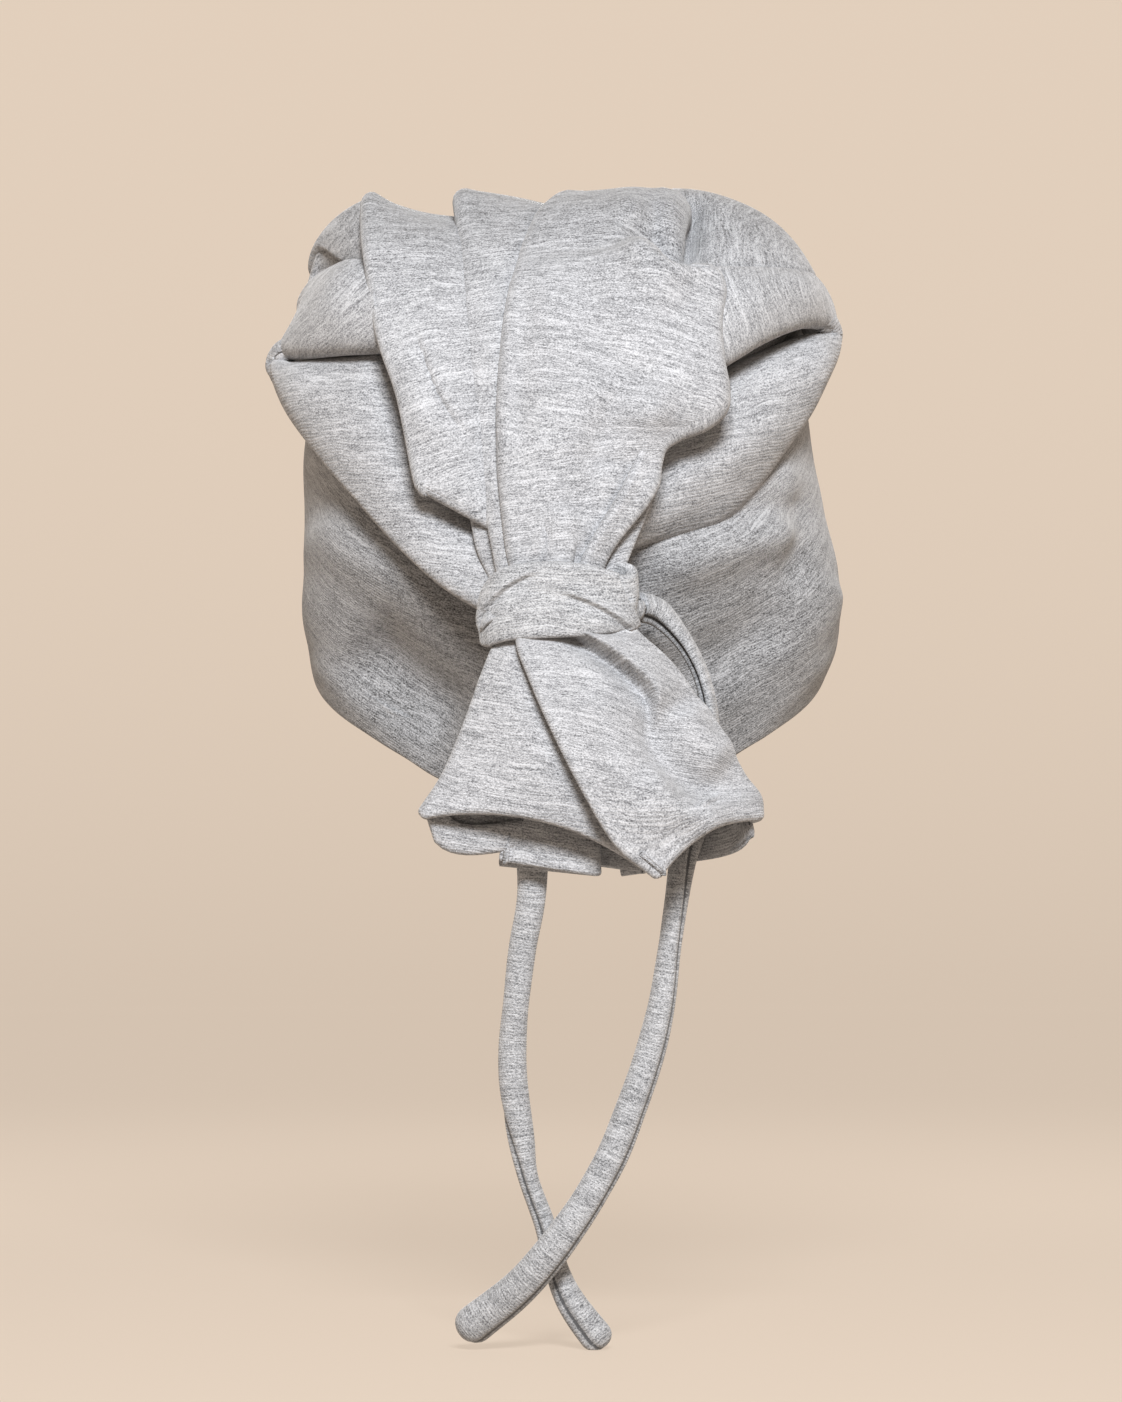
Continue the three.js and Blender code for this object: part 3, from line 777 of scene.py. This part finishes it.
# %% Full folds on each side of the crown
CROWN_FOLD_LEFT = [
    (-68, 36, -36, -46, 38, -18, 1),
    (-86, 20, -20, -60, 14, 4, 3),
    (-93, 5, -13.5, -66, -4, 10, 3),
    (-91.3, -7, -6.3, -68.5, -20, 11, 2.5),
    (-88, -15, -5.5, -69, -30, 8.5, 2.5),
    (-80.7, -30, -11, -68.5, -38, 4, 2),
    (-71.8, -45, -16.6, -66, -48, -6, 1),
    (-65, -54, -21, -62, -56, -16, 0),
]
# columns: x y z of the hidden cloth that runs down inside the pocket
POCKET_LEFT = [
    (-86, 38, -50), (-94, 20, -46), (-98, 4, -40), (-98.6, 1, -36), (-94, 6, -33), (-82, 2, -29),
    (-70, -10, -28), (-62, -30, -28),
]
cloth_panel(
    "crown_fold_left", CROWN_FOLD_LEFT, grain=seen(58, bend=1.5, middle=(-80, 0), depth=0.3),
    roll_a=1.1, roll_b=0, behind_a=POCKET_LEFT, columns=30, rows=80,
)

CROWN_FOLD_RIGHT = [
    (38, 38, -9, 62, 38, -34, 1),
    (39, 14, 11, 84, 12, -23, 9),
    (36, -4, 14, 86.5, -8, -18, 9),
    (33, -20, 7, 83, -27, -15.5, 8),
    (31, -36, -8, 68, -46, -15.5, 5.5),
    (31, -50, -18, 50, -60, -18.5, 2),
]
cloth_panel(
    "crown_fold_right", CROWN_FOLD_RIGHT, grain=seen(-68, bend=-2, middle=(60, -4), depth=0.3),
    roll_a=0, roll_b=1.2, columns=44, rows=80,
    creases=[(-5, 4.5, [(46, 13), (44, 2), (42, -8), (41.5, -17)])],
)

# %% [markdown]
# ## Rolls and wings
# Below the crown the side cloth makes a pocket. A roll lies over its mouth, and a wing runs on below it
# down to the knot. The two meet in a soft turned corner that stands out beside the head.

# %% Rolls
CROWN_ROLL_LEFT = [
    (-72, 44, -58, -66, 42, -38, 0),
    (-90, 24, -48, -87, 18, -30, 2),
    (-98, 2, -46, -95.5, -4, -26, 0),
    (-103.5, -20, -44, -91.5, -20, -18.5, -1),
    (-96.5, -42, -43.5, -84, -33, -14.5, 3),
    (-82, -62, -42.5, -76, -46, -13, 5),
    (-65, -76, -42, -65, -58, -17, 5),
]
cloth_panel(
    "crown_roll_left", CROWN_ROLL_LEFT, grain=seen(42, bend=1, middle=(-85, -30)),
    roll_a=[3, 3, 3, 3, 4.5, 6, 6], columns=40, rows=110,
)

CROWN_ROLL_RIGHT = [
    (56, 42, -32, 66, 46, -56, 0),
    (77, 22, -21, 85, 26, -42, 2),
    (84.5, -5, -18, 92, -1, -36, 2),
    (84, -23, -16, 93.6, -17, -33.8, 1.5),
    (74, -42, -16, 84, -42, -33.5, 4),
    (60, -57, -16.5, 68.5, -65, -40, 4),
    (44, -66, -17, 52, -81, -50, 3),
]
cloth_panel(
    "crown_roll_right", CROWN_ROLL_RIGHT, grain=seen(-72, bend=1, middle=(70, -30)),
    roll_a=1.6, roll_b=[3, 3, 3, 3, 4.5, 6, 6], columns=40, rows=110,
)

# %% Wings
WING_LEFT = [
    (-98, -31, -40.5, -95.5, -28, -43.5, 0),
    (-104.5, -26, -42.6, -99.5, -24, -46, 0.5),
    (-107.2, -22, -47.5, -101, -20, -48.5, 1),
    (-105, -27, -55, -97, -31, -47.5, 2),
    (-99, -38, -67, -88, -42, -46.8, 5),
    (-87, -53, -83, -77, -54, -46.6, 5),
    (-73, -68, -99, -65, -61, -46.5, 4),
    (-58, -81, -115, -52, -66, -66, 3),
    (-44, -91, -127, -36, -78, -98, 2),
    (-30, -100, -136, -20, -98, -122, 1),
]
cloth_panel(
    "wing_left", WING_LEFT, grain=seen(-3, bend=-1.2, middle=(-70, -70)),
    roll_a=2.6, roll_b=[1.5, 2, 3, 5, 7, 7, 6, 2, 2, 2], columns=44, rows=150,
)

WING_RIGHT = [
    (88, -25, -35, 89.5, -28, -31.5, 0),
    (90.5, -19, -36, 94.2, -20, -32.2, 0.5),
    (91, -16, -37, 95.7, -16.5, -38, 1),
    (89, -21, -36.8, 94.3, -21, -45, 2),
    (82, -32, -38.9, 90, -31, -54.5, 4.5),
    (71, -47, -45, 84.3, -38, -67, 5),
    (58, -58, -51.5, 77, -45, -79, 5),
    (46, -67, -61, 69, -53, -91.5, 5),
    (34, -75, -73, 57, -64, -103.5, 4),
    (24, -83, -87, 42, -73, -109.5, 3),
    (15, -91, -100, 26, -84, -113, 2),
    (6, -101, -117, 10, -96, -122, 1),
]
cloth_panel(
    "wing_right", WING_RIGHT, grain=seen(17, bend=0.5, middle=(70, -60)),
    roll_a=[1.5, 2, 3, 5, 7, 7, 6, 3, 2, 2, 2, 2],
    roll_b=[2.6, 2.6, 2.6, 2.6, 3, 5, 9, 12, 12, 11, 8, 4], columns=50, rows=170,
    creases=[(2.5, 8, [(78, -62), (64, -76), (46, -86), (28, -94)])],
)

# %% [markdown]
# ## The tail
# Below the knot the drape opens into a short tail. Each half is a flattened tube: the front layer turns
# round its outer edge and runs back behind, and both layers end in a thick rolled hem.

# %% Tail halves
TAIL_LEFT = [
    (-22, -112, -137, -6, -114, -137, 1),
    (-27.5, -112, -149, -8, -115, -149, 2),
    (-32, -112, -160, -4, -116.5, -160, 3),
    (-37, -112, -174, 4, -118.5, -175, 4),
    (-45, -113, -193, 14, -119.5, -198, 5),
    (-52.5, -114, -205, 25, -115, -225, 6),
]
TAIL_LEFT_BEHIND = [
    (-8, -104, -140), (-6, -103, -158), (-4, -102, -176), (-2, -100, -196), (-4, -99, -214),
]
cloth_panel(
    "tail_left", TAIL_LEFT, grain=seen(-10, bend=0.8, middle=(-30, -180)),
    roll_a=[2, 2, 2.5, 3, 4, 4.5], roll_b=0, hem=2.2, end_sag=-9, behind_sag=10,
    behind_a=TAIL_LEFT_BEHIND, stands_for=("tail_return_left",), columns=44, rows=70,
)

TAIL_RIGHT = [
    (-16, -117, -137, 18, -114, -137, 1),
    (-19, -120.5, -147, 24, -110, -145, 2),
    (-14.5, -125, -160, 36, -109, -156, 3),
    (-7.5, -129, -176, 49, -109, -174, 4),
    (3.5, -132, -198, 60.5, -109, -192, 5),
    (15, -133, -217, 66.5, -108, -200, 5),
    (28, -131, -228, 67.5, -109, -206.5, 4),
]
TAIL_RIGHT_BEHIND = [
    (6, -101, -140), (10, -100, -158), (17, -91, -176), (24, -71, -202), (30, -69, -224),
]
cloth_panel(
    "tail_right", TAIL_RIGHT, grain=along_run(slopes=[-0.1, -0.3, -0.4, -0.3, 0]),
    roll_b=[2, 2, 2.5, 3, 4, 5, 5], hem=2.2, end_sag=-5, behind_sag=7, behind_b=TAIL_RIGHT_BEHIND,
    stands_for=("tail_return_right",), columns=90, rows=130,
    creases=[
        (-5.2, -5, [(-8, -138), (3, -145.7), (12.4, -151.9), (21.2, -158.8), (27.5, -166.7), (29, -178)]),
        (2.5, 5, [(10, -142), (22, -150), (31, -160), (38, -172)]),
        (-5, 5, [(29, -168), (28.5, -179), (33, -188), (45, -197), (64, -197)]),
        (4.5, 7, [(38, -168), (44, -180), (56, -190)]),
        (3.5, 6, [(24, -190), (36, -206), (56, -210)]),
        (2.5, 7, [(6, -160), (12, -178), (20, -202), (34, -214)]),
    ],
)

# %% Inner pleats of the tail
TAIL_INNER_LEFT = [
    (-14, -104, -145, 4, -104, -145, 0),
    (-20, -104, -185, 8, -104, -190, 0),
    (-25, -104, -222, 10.4, -105, -227, 0.5),
]
TAIL_INNER_LEFT_BEHIND = [(-14, -93, -145), (-20, -92, -185), (-24.8, -92, -224)]
cloth_panel(
    "tail_inner_left", TAIL_INNER_LEFT,
    roll_a=1.2, roll_b=2.4, hem=1.3, behind_b=TAIL_INNER_LEFT_BEHIND, columns=24, rows=40,
)

TAIL_INNER_RIGHT = [
    (2, -93, -145, 14, -97, -145, 0),
    (4, -93, -185, 22, -98, -186, 0),
    (6, -94, -224, 27, -101, -226, 0),
]
cloth_panel(
    "tail_inner_right", TAIL_INNER_RIGHT,
    roll_a=1.6, roll_b=1.6, hem=1.2, columns=24, rows=40,
)

# %% [markdown]
# ## The knot
# The tie goes twice round the gathered drape. Each turn is a soft flattened band. The upper one shows as a
# dome above the lower one, which crosses it as a crescent from lower left to lower right.

# %% Turns of the knot
KNOT_SWELL = 0.8
# columns: turn in degrees from +X, lower edge, upper edge, half width, half depth, tuck of the upper edge
KNOT_UPPER = [
    (-275, -146, -124, 24, 10, 0), (-230, -146, -126, 25, 11, 0), (-180, -141, -129, 26.5, 12, 0),
    (-155, -143, -124.5, 26.8, 12.6, 0), (-130, -145, -121.5, 26.8, 12.6, 0),
    (-95, -146, -120, 26.8, 12.8, 0), (-65, -146, -121.5, 26.8, 12.8, 0),
    (-45, -145, -123.5, 26.8, 12.8, 0), (-26, -144, -124.6, 26.8, 12.8, 0),
    (-8, -143, -122.5, 26.8, 12.5, 0), (12, -142.5, -120.8, 26.4, 12, 0), (40, -144, -120, 25, 11, 0),
    (85, -146, -122, 24, 10, 0),
]
KNOT_LOWER = [
    (-275, -147, -134, 25, 11, 0), (-225, -149, -136, 26, 12, 0), (-180, -149, -137, 27.2, 13.2, 1),
    (-160, -149.4, -131, 27.4, 14.2, 2), (-146, -148.4, -127.5, 27.4, 14.6, 2.5),
    (-130, -147.2, -125, 27.4, 14.8, 3), (-112, -146.6, -124, 27.4, 14.8, 3),
    (-95, -146.2, -124, 27.4, 14.8, 3), (-80, -145.9, -125, 27.4, 14.8, 3),
    (-65, -145.3, -127, 27.4, 14.8, 3), (-50, -144.7, -130, 27.4, 14.4, 2.5),
    (-36, -144.2, -134, 27.2, 13.8, 2), (-20, -144, -139, 26.5, 12.8, 1),
]
KNOT_CREASES = [
    (1.3, -3.5, [(-11, -124), (-16, -125.5), (-22, -129), (-27.3, -133.7), (-30.8, -138.7), (-33, -146)]),
    (-1.3, -3.5, [(-4, -131), (1.5, -132.5), (8.7, -135.4), (14.9, -139), (19, -142.3), (23, -147)]),
    (1.4, -3, [(12, -117), (16, -125), (19.2, -132.3), (22.4, -139), (24, -146)]),
]


def knot_stations(turns):
    stations = []
    for degrees, low, high, half_width, half_depth, inset in turns:
        angle = math.radians(degrees)
        x = KNOT.x + half_width * math.cos(angle)
        y = KNOT.y + half_depth * math.sin(angle)
        stations.append((x, y, low, x, y - inset * math.sin(angle), high, KNOT_SWELL))
    return stations


for name, turns in (("knot_band_upper", KNOT_UPPER), ("knot_band_lower", KNOT_LOWER)):
    cloth_panel(
        name,
        knot_stations(turns),
        grain=along_run(turn=90),
        roll_a=1.5, roll_b=2, columns=36, rows=200, slot="tie_jersey", lift=0,
        creases=KNOT_CREASES,
    )

# %% [markdown]
# ## Heather knit
# The cloth is a marl: pale and dark fibres are spun together, so each course of the knit shows as short
# streaks, pale slubs and small dark flecks. The pattern is noise that is slow over the cloth and quick
# across the courses. The slow part reads the place and the quick part the knit coordinate. The seam of a
# tie is a dark line along its own knit coordinate.

# %% Node helpers
def node(tree, kind, at, **values):
    made = tree.nodes.new(kind)
    made.location = at
    for key, value in values.items():
        setattr(made, key, value)
    return made


def fill(made, values):
    for name, value in values.items():
        made.inputs[name].default_value = value


def calculate(tree, operation, at, *values):
    made = node(tree, "ShaderNodeMath", at, operation=operation)
    for socket, value in zip(made.inputs, values):
        if isinstance(value, (int, float)):
            socket.default_value = value
        else:
            tree.links.new(value, socket)
    return made.outputs[0]


# %% The heather group
def streak_noise(tree, at, position, course, length, height, detail):
    """Noise that is slow over length millimetres of cloth and quick over height millimetres of courses."""
    slow = node(tree, "ShaderNodeVectorMath", at, operation="SCALE")
    fill(slow, {"Scale": 1000 / length})
    tree.links.new(position, slow.inputs[0])
    quick = calculate(tree, "MULTIPLY", (at[0], at[1] - 120), course, 1000 / height)
    made = node(tree, "ShaderNodeTexNoise", (at[0] + 200, at[1]), noise_dimensions="4D")
    fill(made, {"Scale": 1, "Detail": detail, "Roughness": 0.6})
    tree.links.new(slow.outputs[0], made.inputs["Vector"])
    tree.links.new(quick, made.inputs["W"])
    return made.outputs["Fac"]


def stripes(tree, at, distance, pitch):
    """A wave between -1 and 1 that repeats every pitch millimetres."""
    turns = calculate(tree, "MULTIPLY", at, distance, 2000 * math.pi / pitch)
    return calculate(tree, "SINE", (at[0] + 200, at[1]), turns)


def mask(tree, at, value, low, high):
    made = node(tree, "ShaderNodeMapRange", at, interpolation_type="SMOOTHSTEP")
    fill(made, {"From Min": low, "From Max": high})
    tree.links.new(value, made.inputs["Value"])
    return made.outputs[0]


# columns: length, height and detail of a streak, then its weight in the tone
TONE_STREAKS = [(8, 0.95, 1, 0.75), (2.4, 0.55, 0, 0.55), (40, 3.2, 1, 0.35), (0.55, 0.42, 0, 1.5)]
TONE_START = -1.6
TONE_END = 0.6
ROW_PITCH = 1.05
ROW_TONE = 0.05
ROW_HEIGHT = 0.25
PALE_SLUB_TONE = 0.2
# how long and high the waves of the courses are, in millimetres
WAVE_LENGTH, WAVE_HEIGHT = 14, 3
# painted shade: how much darker the crown's top is painted, against the low part of the cap, and what the
# painted shade takes off the pale and dark colours
TOP_SHADE = 0.85
SHADE_LOSS = {"Dark": -0.7, "Pale": -0.15}


def heather_group():
    tree = bpy.data.node_groups.new("heather_knit", "ShaderNodeTree")
    link = tree.links.new
    for name in ("Pale", "Dark"):
        tree.interface.new_socket(name, in_out="INPUT", socket_type="NodeSocketColor")
    for name in ("Streaks", "Flecks", "Seam"):
        tree.interface.new_socket(name, in_out="INPUT", socket_type="NodeSocketFloat")
    tree.interface.new_socket("Color", in_out="OUTPUT", socket_type="NodeSocketColor")
    for name in ("Height", "Roughness"):
        tree.interface.new_socket(name, in_out="OUTPUT", socket_type="NodeSocketFloat")
    given = node(tree, "NodeGroupInput", (-1400, 0))
    result = node(tree, "NodeGroupOutput", (1100, 0))
    position = node(tree, "ShaderNodeTexCoord", (-1400, 300)).outputs["Object"]
    knit = node(tree, "ShaderNodeUVMap", (-1400, -300), uv_map="knit")
    parts = node(tree, "ShaderNodeSeparateXYZ", (-1200, -300))
    link(knit.outputs[0], parts.inputs[0])
    ripple = node(tree, "ShaderNodeTexNoise", (-1200, 0))
    fill(ripple, {"Scale": 1000 / WAVE_LENGTH, "Detail": 1})
    link(position, ripple.inputs["Vector"])
    waves = ripple.outputs["Fac"], WAVE_HEIGHT / 1000
    course = calculate(tree, "MULTIPLY_ADD", (-1050, -150), *waves, parts.outputs["Y"])
    # the tone of the cloth is a sum of streaks, rows and pale slubs
    tone = TONE_START
    streaks = []
    for k, (length, height, detail, weight) in enumerate(TONE_STREAKS):
        at = (-900, 600 - 300 * k)
        streaks.append(streak_noise(tree, at, position, course, length, height, detail))
        tone = calculate(tree, "MULTIPLY_ADD", (-400 + 100 * k, 600), streaks[k], weight, tone)
    rows = stripes(tree, (-900, -1200), course, ROW_PITCH)
    tone = calculate(tree, "MULTIPLY_ADD", (0, 600), rows, ROW_TONE, tone)
    long_slubs = streak_noise(tree, (-900, -600), position, course, 14, 1.1, 0)
    pale_slubs = mask(tree, (-400, -200), long_slubs, 0.56, 0.74)
    tone = calculate(tree, "MULTIPLY_ADD", (100, 600), pale_slubs, PALE_SLUB_TONE, tone)
    scaled = calculate(tree, "MULTIPLY", (250, 400), tone, given.outputs["Streaks"])
    # dark flecks and the seam line are taken off it
    flecks = streak_noise(tree, (-900, -900), position, course, 1.0, 0.6, 0)
    fleck_mask = mask(tree, (-400, -500), flecks, 0.70, 0.80)
    fleck = calculate(tree, "MULTIPLY", (-200, -500), fleck_mask, given.outputs["Flecks"])
    beside = calculate(tree, "ABSOLUTE", (-200, -800), parts.outputs["X"])
    seam_line = mask(tree, (0, -800), beside, 0.0011, 0.0003)
    seam = calculate(tree, "MULTIPLY_ADD", (200, -700), seam_line, given.outputs["Seam"], fleck)
    lit = calculate(tree, "SUBTRACT", (400, 300), scaled, seam)
    share = calculate(tree, "ADD", (550, 300), lit, TONE_END)
    share.node.use_clamp = True
    # painted shade: the colour is darkened on the top of the crown and on the low part of the cap, set back
    # from the knot
    places = node(tree, "ShaderNodeSeparateXYZ", (-100, 900))
    link(position, places.inputs[0])
    low_down = mask(tree, (100, 1000), places.outputs["Z"], -0.09, -0.126)
    set_back = mask(tree, (100, 750), places.outputs["Y"], -0.095, -0.07)
    high_up = mask(tree, (100, 1250), places.outputs["Z"], -0.03, 0.012)
    body = calculate(tree, "MULTIPLY", (250, 900), low_down, set_back)
    painted_shade = calculate(tree, "MULTIPLY_ADD", (350, 1050), high_up, TOP_SHADE, body)
    keep = {}
    for tone_name, loss in SHADE_LOSS.items():
        kept = calculate(tree, "MULTIPLY_ADD", (450, 900), painted_shade, loss, 1)
        scale = node(tree, "ShaderNodeVectorMath", (600, 900), operation="SCALE")
        link(given.outputs[tone_name], scale.inputs[0])
        link(kept, scale.inputs["Scale"])
        keep[tone_name] = scale.outputs[0]
    mix = node(tree, "ShaderNodeMix", (800, 300), data_type="RGBA")
    link(share, mix.inputs["Factor"])
    link(keep["Dark"], mix.inputs["A"])
    link(keep["Pale"], mix.inputs["B"])
    link(mix.outputs["Result"], result.inputs["Color"])
    threads, dots = streaks[1], streaks[3]
    height = calculate(tree, "MULTIPLY_ADD", (450, 0), rows, ROW_HEIGHT, dots)
    link(height, result.inputs["Height"])
    rough = calculate(tree, "MULTIPLY_ADD", (450, -200), threads, 0.2, 0.78)
    link(rough, result.inputs["Roughness"])
    return tree


HEATHER = heather_group()


def jersey(name, pale, dark, seam):
    material = bpy.data.materials.new(name)
    material.use_nodes = True
    tree = material.node_tree
    shader = tree.nodes["Principled BSDF"]
    group = node(tree, "ShaderNodeGroup", (-500, 0), node_tree=HEATHER)
    fill(group, {"Pale": (*pale, 1), "Dark": (*dark, 1), "Streaks": 1, "Flecks": 0.42, "Seam": seam})
    tree.links.new(group.outputs["Color"], shader.inputs["Base Color"])
    tree.links.new(group.outputs["Roughness"], shader.inputs["Roughness"])
    bump = node(tree, "ShaderNodeBump", (-250, -250))
    fill(bump, {"Strength": 0.6, "Distance": 0.25 * MM})
    tree.links.new(group.outputs["Height"], bump.inputs["Height"])
    tree.links.new(bump.outputs[0], shader.inputs["Normal"])
    fill(shader, {"Sheen Weight": 0.25, "Sheen Roughness": 0.6, "Specular IOR Level": 0.25})
    return material


# %% Jersey of the cap, the drape and the ties
# columns: slot, pale and dark colour of the marl, strength of the seam line
JERSEYS = [
    # the cap is the same cloth as the drape, but its pale colour is set a little darker: painted shade for
    # the cap's lower body
    ("cap_jersey", (0.41, 0.417, 0.434), (0.11, 0.112, 0.12), 0),
    ("drape_jersey", (0.435, 0.443, 0.463), (0.11, 0.113, 0.122), 0),
    ("tie_jersey", (0.425, 0.433, 0.45), (0.09, 0.093, 0.1), 0.85),
]
FINISH = {row[0]: jersey(*row) for row in JERSEYS}
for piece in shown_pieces():
    piece.data.materials.clear()
    piece.data.materials.append(FINISH[piece["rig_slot"]])

# %% [markdown]
# ## Studio
# A round paper sweep goes all the way about the beanie, so every side has the same quiet ground. One large
# soft light stands above the camera, a weak one lights the face side but not the paper, and the open top
# lets in a weak even light.

# %% Sweep
FLOOR_Z = -393.4 * MM
SWEEP_FLAT = 2600 * MM
SWEEP_RADIUS = 3800 * MM
SWEEP_HEIGHT = 4500 * MM
BEND_STEPS = 12
GLOW_REACH = 4
# columns: distance from the middle as a share of GLOW_REACH in metres, the paper's own light there
PAPER_GLOW = [(0.12, 0.755), (0.2, 0.785), (0.4, 0.715), (0.62, 0.72), (0.96, 0.86)]


def make_sweep():
    bm = bmesh.new()
    bend = SWEEP_RADIUS - SWEEP_FLAT
    profile = [bm.verts.new((0, 0, FLOOR_Z)), bm.verts.new((SWEEP_FLAT, 0, FLOOR_Z))]
    for k in range(1, BEND_STEPS + 1):
        angle = math.radians(90 * k / BEND_STEPS)
        x, z = SWEEP_FLAT + bend * math.sin(angle), FLOOR_Z + bend * (1 - math.cos(angle))
        profile.append(bm.verts.new((x, 0, z)))
    profile.append(bm.verts.new((SWEEP_RADIUS, 0, FLOOR_Z + SWEEP_HEIGHT)))
    edges = [bm.edges.new(pair) for pair in zip(profile, profile[1:])]
    round_about = {"cent": (0, 0, 0), "axis": (0, 0, 1), "angle": 2 * math.pi}
    bmesh.ops.spin(bm, geom=profile + edges, steps=96, use_merge=True, **round_about)
    bmesh.ops.remove_doubles(bm, verts=bm.verts, dist=1 * MM)
    bmesh.ops.recalc_face_normals(bm, faces=bm.faces)
    sweep = new_piece("sweep", bm)
    paper = bpy.data.materials.new("paper")
    paper.use_nodes = True
    shader = paper.node_tree.nodes["Principled BSDF"]
    fill(shader, {"Base Color": (0.1, 0.083, 0.068, 1), "Roughness": 0.9})
    # painted light: the paper glows by itself in the colour of lit paper, graded with the distance from the
    # middle by PAPER_GLOW, and this glow is also the soft fill on the beanie
    fill(shader, {"Emission Color": (0.795, 0.682, 0.574, 1)})
    tree = paper.node_tree
    position = node(tree, "ShaderNodeTexCoord", (-900, 0)).outputs["Object"]
    from_middle = node(tree, "ShaderNodeVectorMath", (-700, 0), operation="LENGTH")
    tree.links.new(position, from_middle.inputs[0])
    glow = node(tree, "ShaderNodeValToRGB", (-400, 0))
    glow.color_ramp.interpolation = "EASE"
    reach = calculate(tree, "MULTIPLY", (-550, 0), from_middle.outputs["Value"], 1 / GLOW_REACH)
    stops = glow.color_ramp.elements
    stops[0].position, stops[1].position = PAPER_GLOW[0][0], PAPER_GLOW[-1][0]
    for place, _ in PAPER_GLOW[1:-1]:
        stops.new(place)
    for stop, (_, strength) in zip(stops, PAPER_GLOW):
        stop.color = (strength, strength, strength, 1)
    tree.links.new(reach, glow.inputs[0])
    tree.links.new(glow.outputs[0], shader.inputs["Emission Strength"])
    sweep.data.materials.append(paper)
    sweep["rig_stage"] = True


make_sweep()


# %% Lights
def soft_light(name, at, aim, size, watts, colour, spread=180):
    data = bpy.data.lights.new(name, "AREA")
    data.shape = "RECTANGLE"
    data.size, data.size_y = size
    data.spread = math.radians(spread)
    data.energy = watts
    data.color = colour
    lamp = bpy.data.objects.new(name, data)
    lamp.location = at
    lamp.rotation_euler = (Vector(aim) - Vector(at)).to_track_quat("-Z", "Y").to_euler()
    bpy.context.scene.collection.objects.link(lamp)
    return lamp


soft_light("key", (0.1, -2.1, 1.02), (0, 0, -0.15), (0.65, 0.5), 93, (0.95, 0.975, 1))
front = soft_light("front", (-0.1, 2.2, 0.3), (0, 0, -0.08), (0.5, 0.4), 1.9, (1, 0.98, 0.95), spread=36)
lit_by_front = bpy.data.collections.new("lit_by_front")
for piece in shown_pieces():
    lit_by_front.objects.link(piece)
front.light_linking.receiver_collection = lit_by_front
world = bpy.data.worlds.new("room")
world.use_nodes = True
fill(world.node_tree.nodes["Background"], {"Color": (1, 0.95, 0.9, 1), "Strength": 0.05})
bpy.context.scene.world = world
view = bpy.context.scene.view_settings
view.view_transform, view.exposure, view.gamma = "Standard", 0.03, 0.85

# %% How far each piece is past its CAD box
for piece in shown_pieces():
    low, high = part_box(piece["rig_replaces"][0])
    sides = [(min(side), max(side)) for side in zip(*piece.bound_box)]
    over = [max(side[1] - high[k], low[k] - side[0]) * 1000 for k, side in enumerate(sides)]
    print(f"{piece.name:18s} past its CAD box by", [round(x, 1) for x in over], "mm")
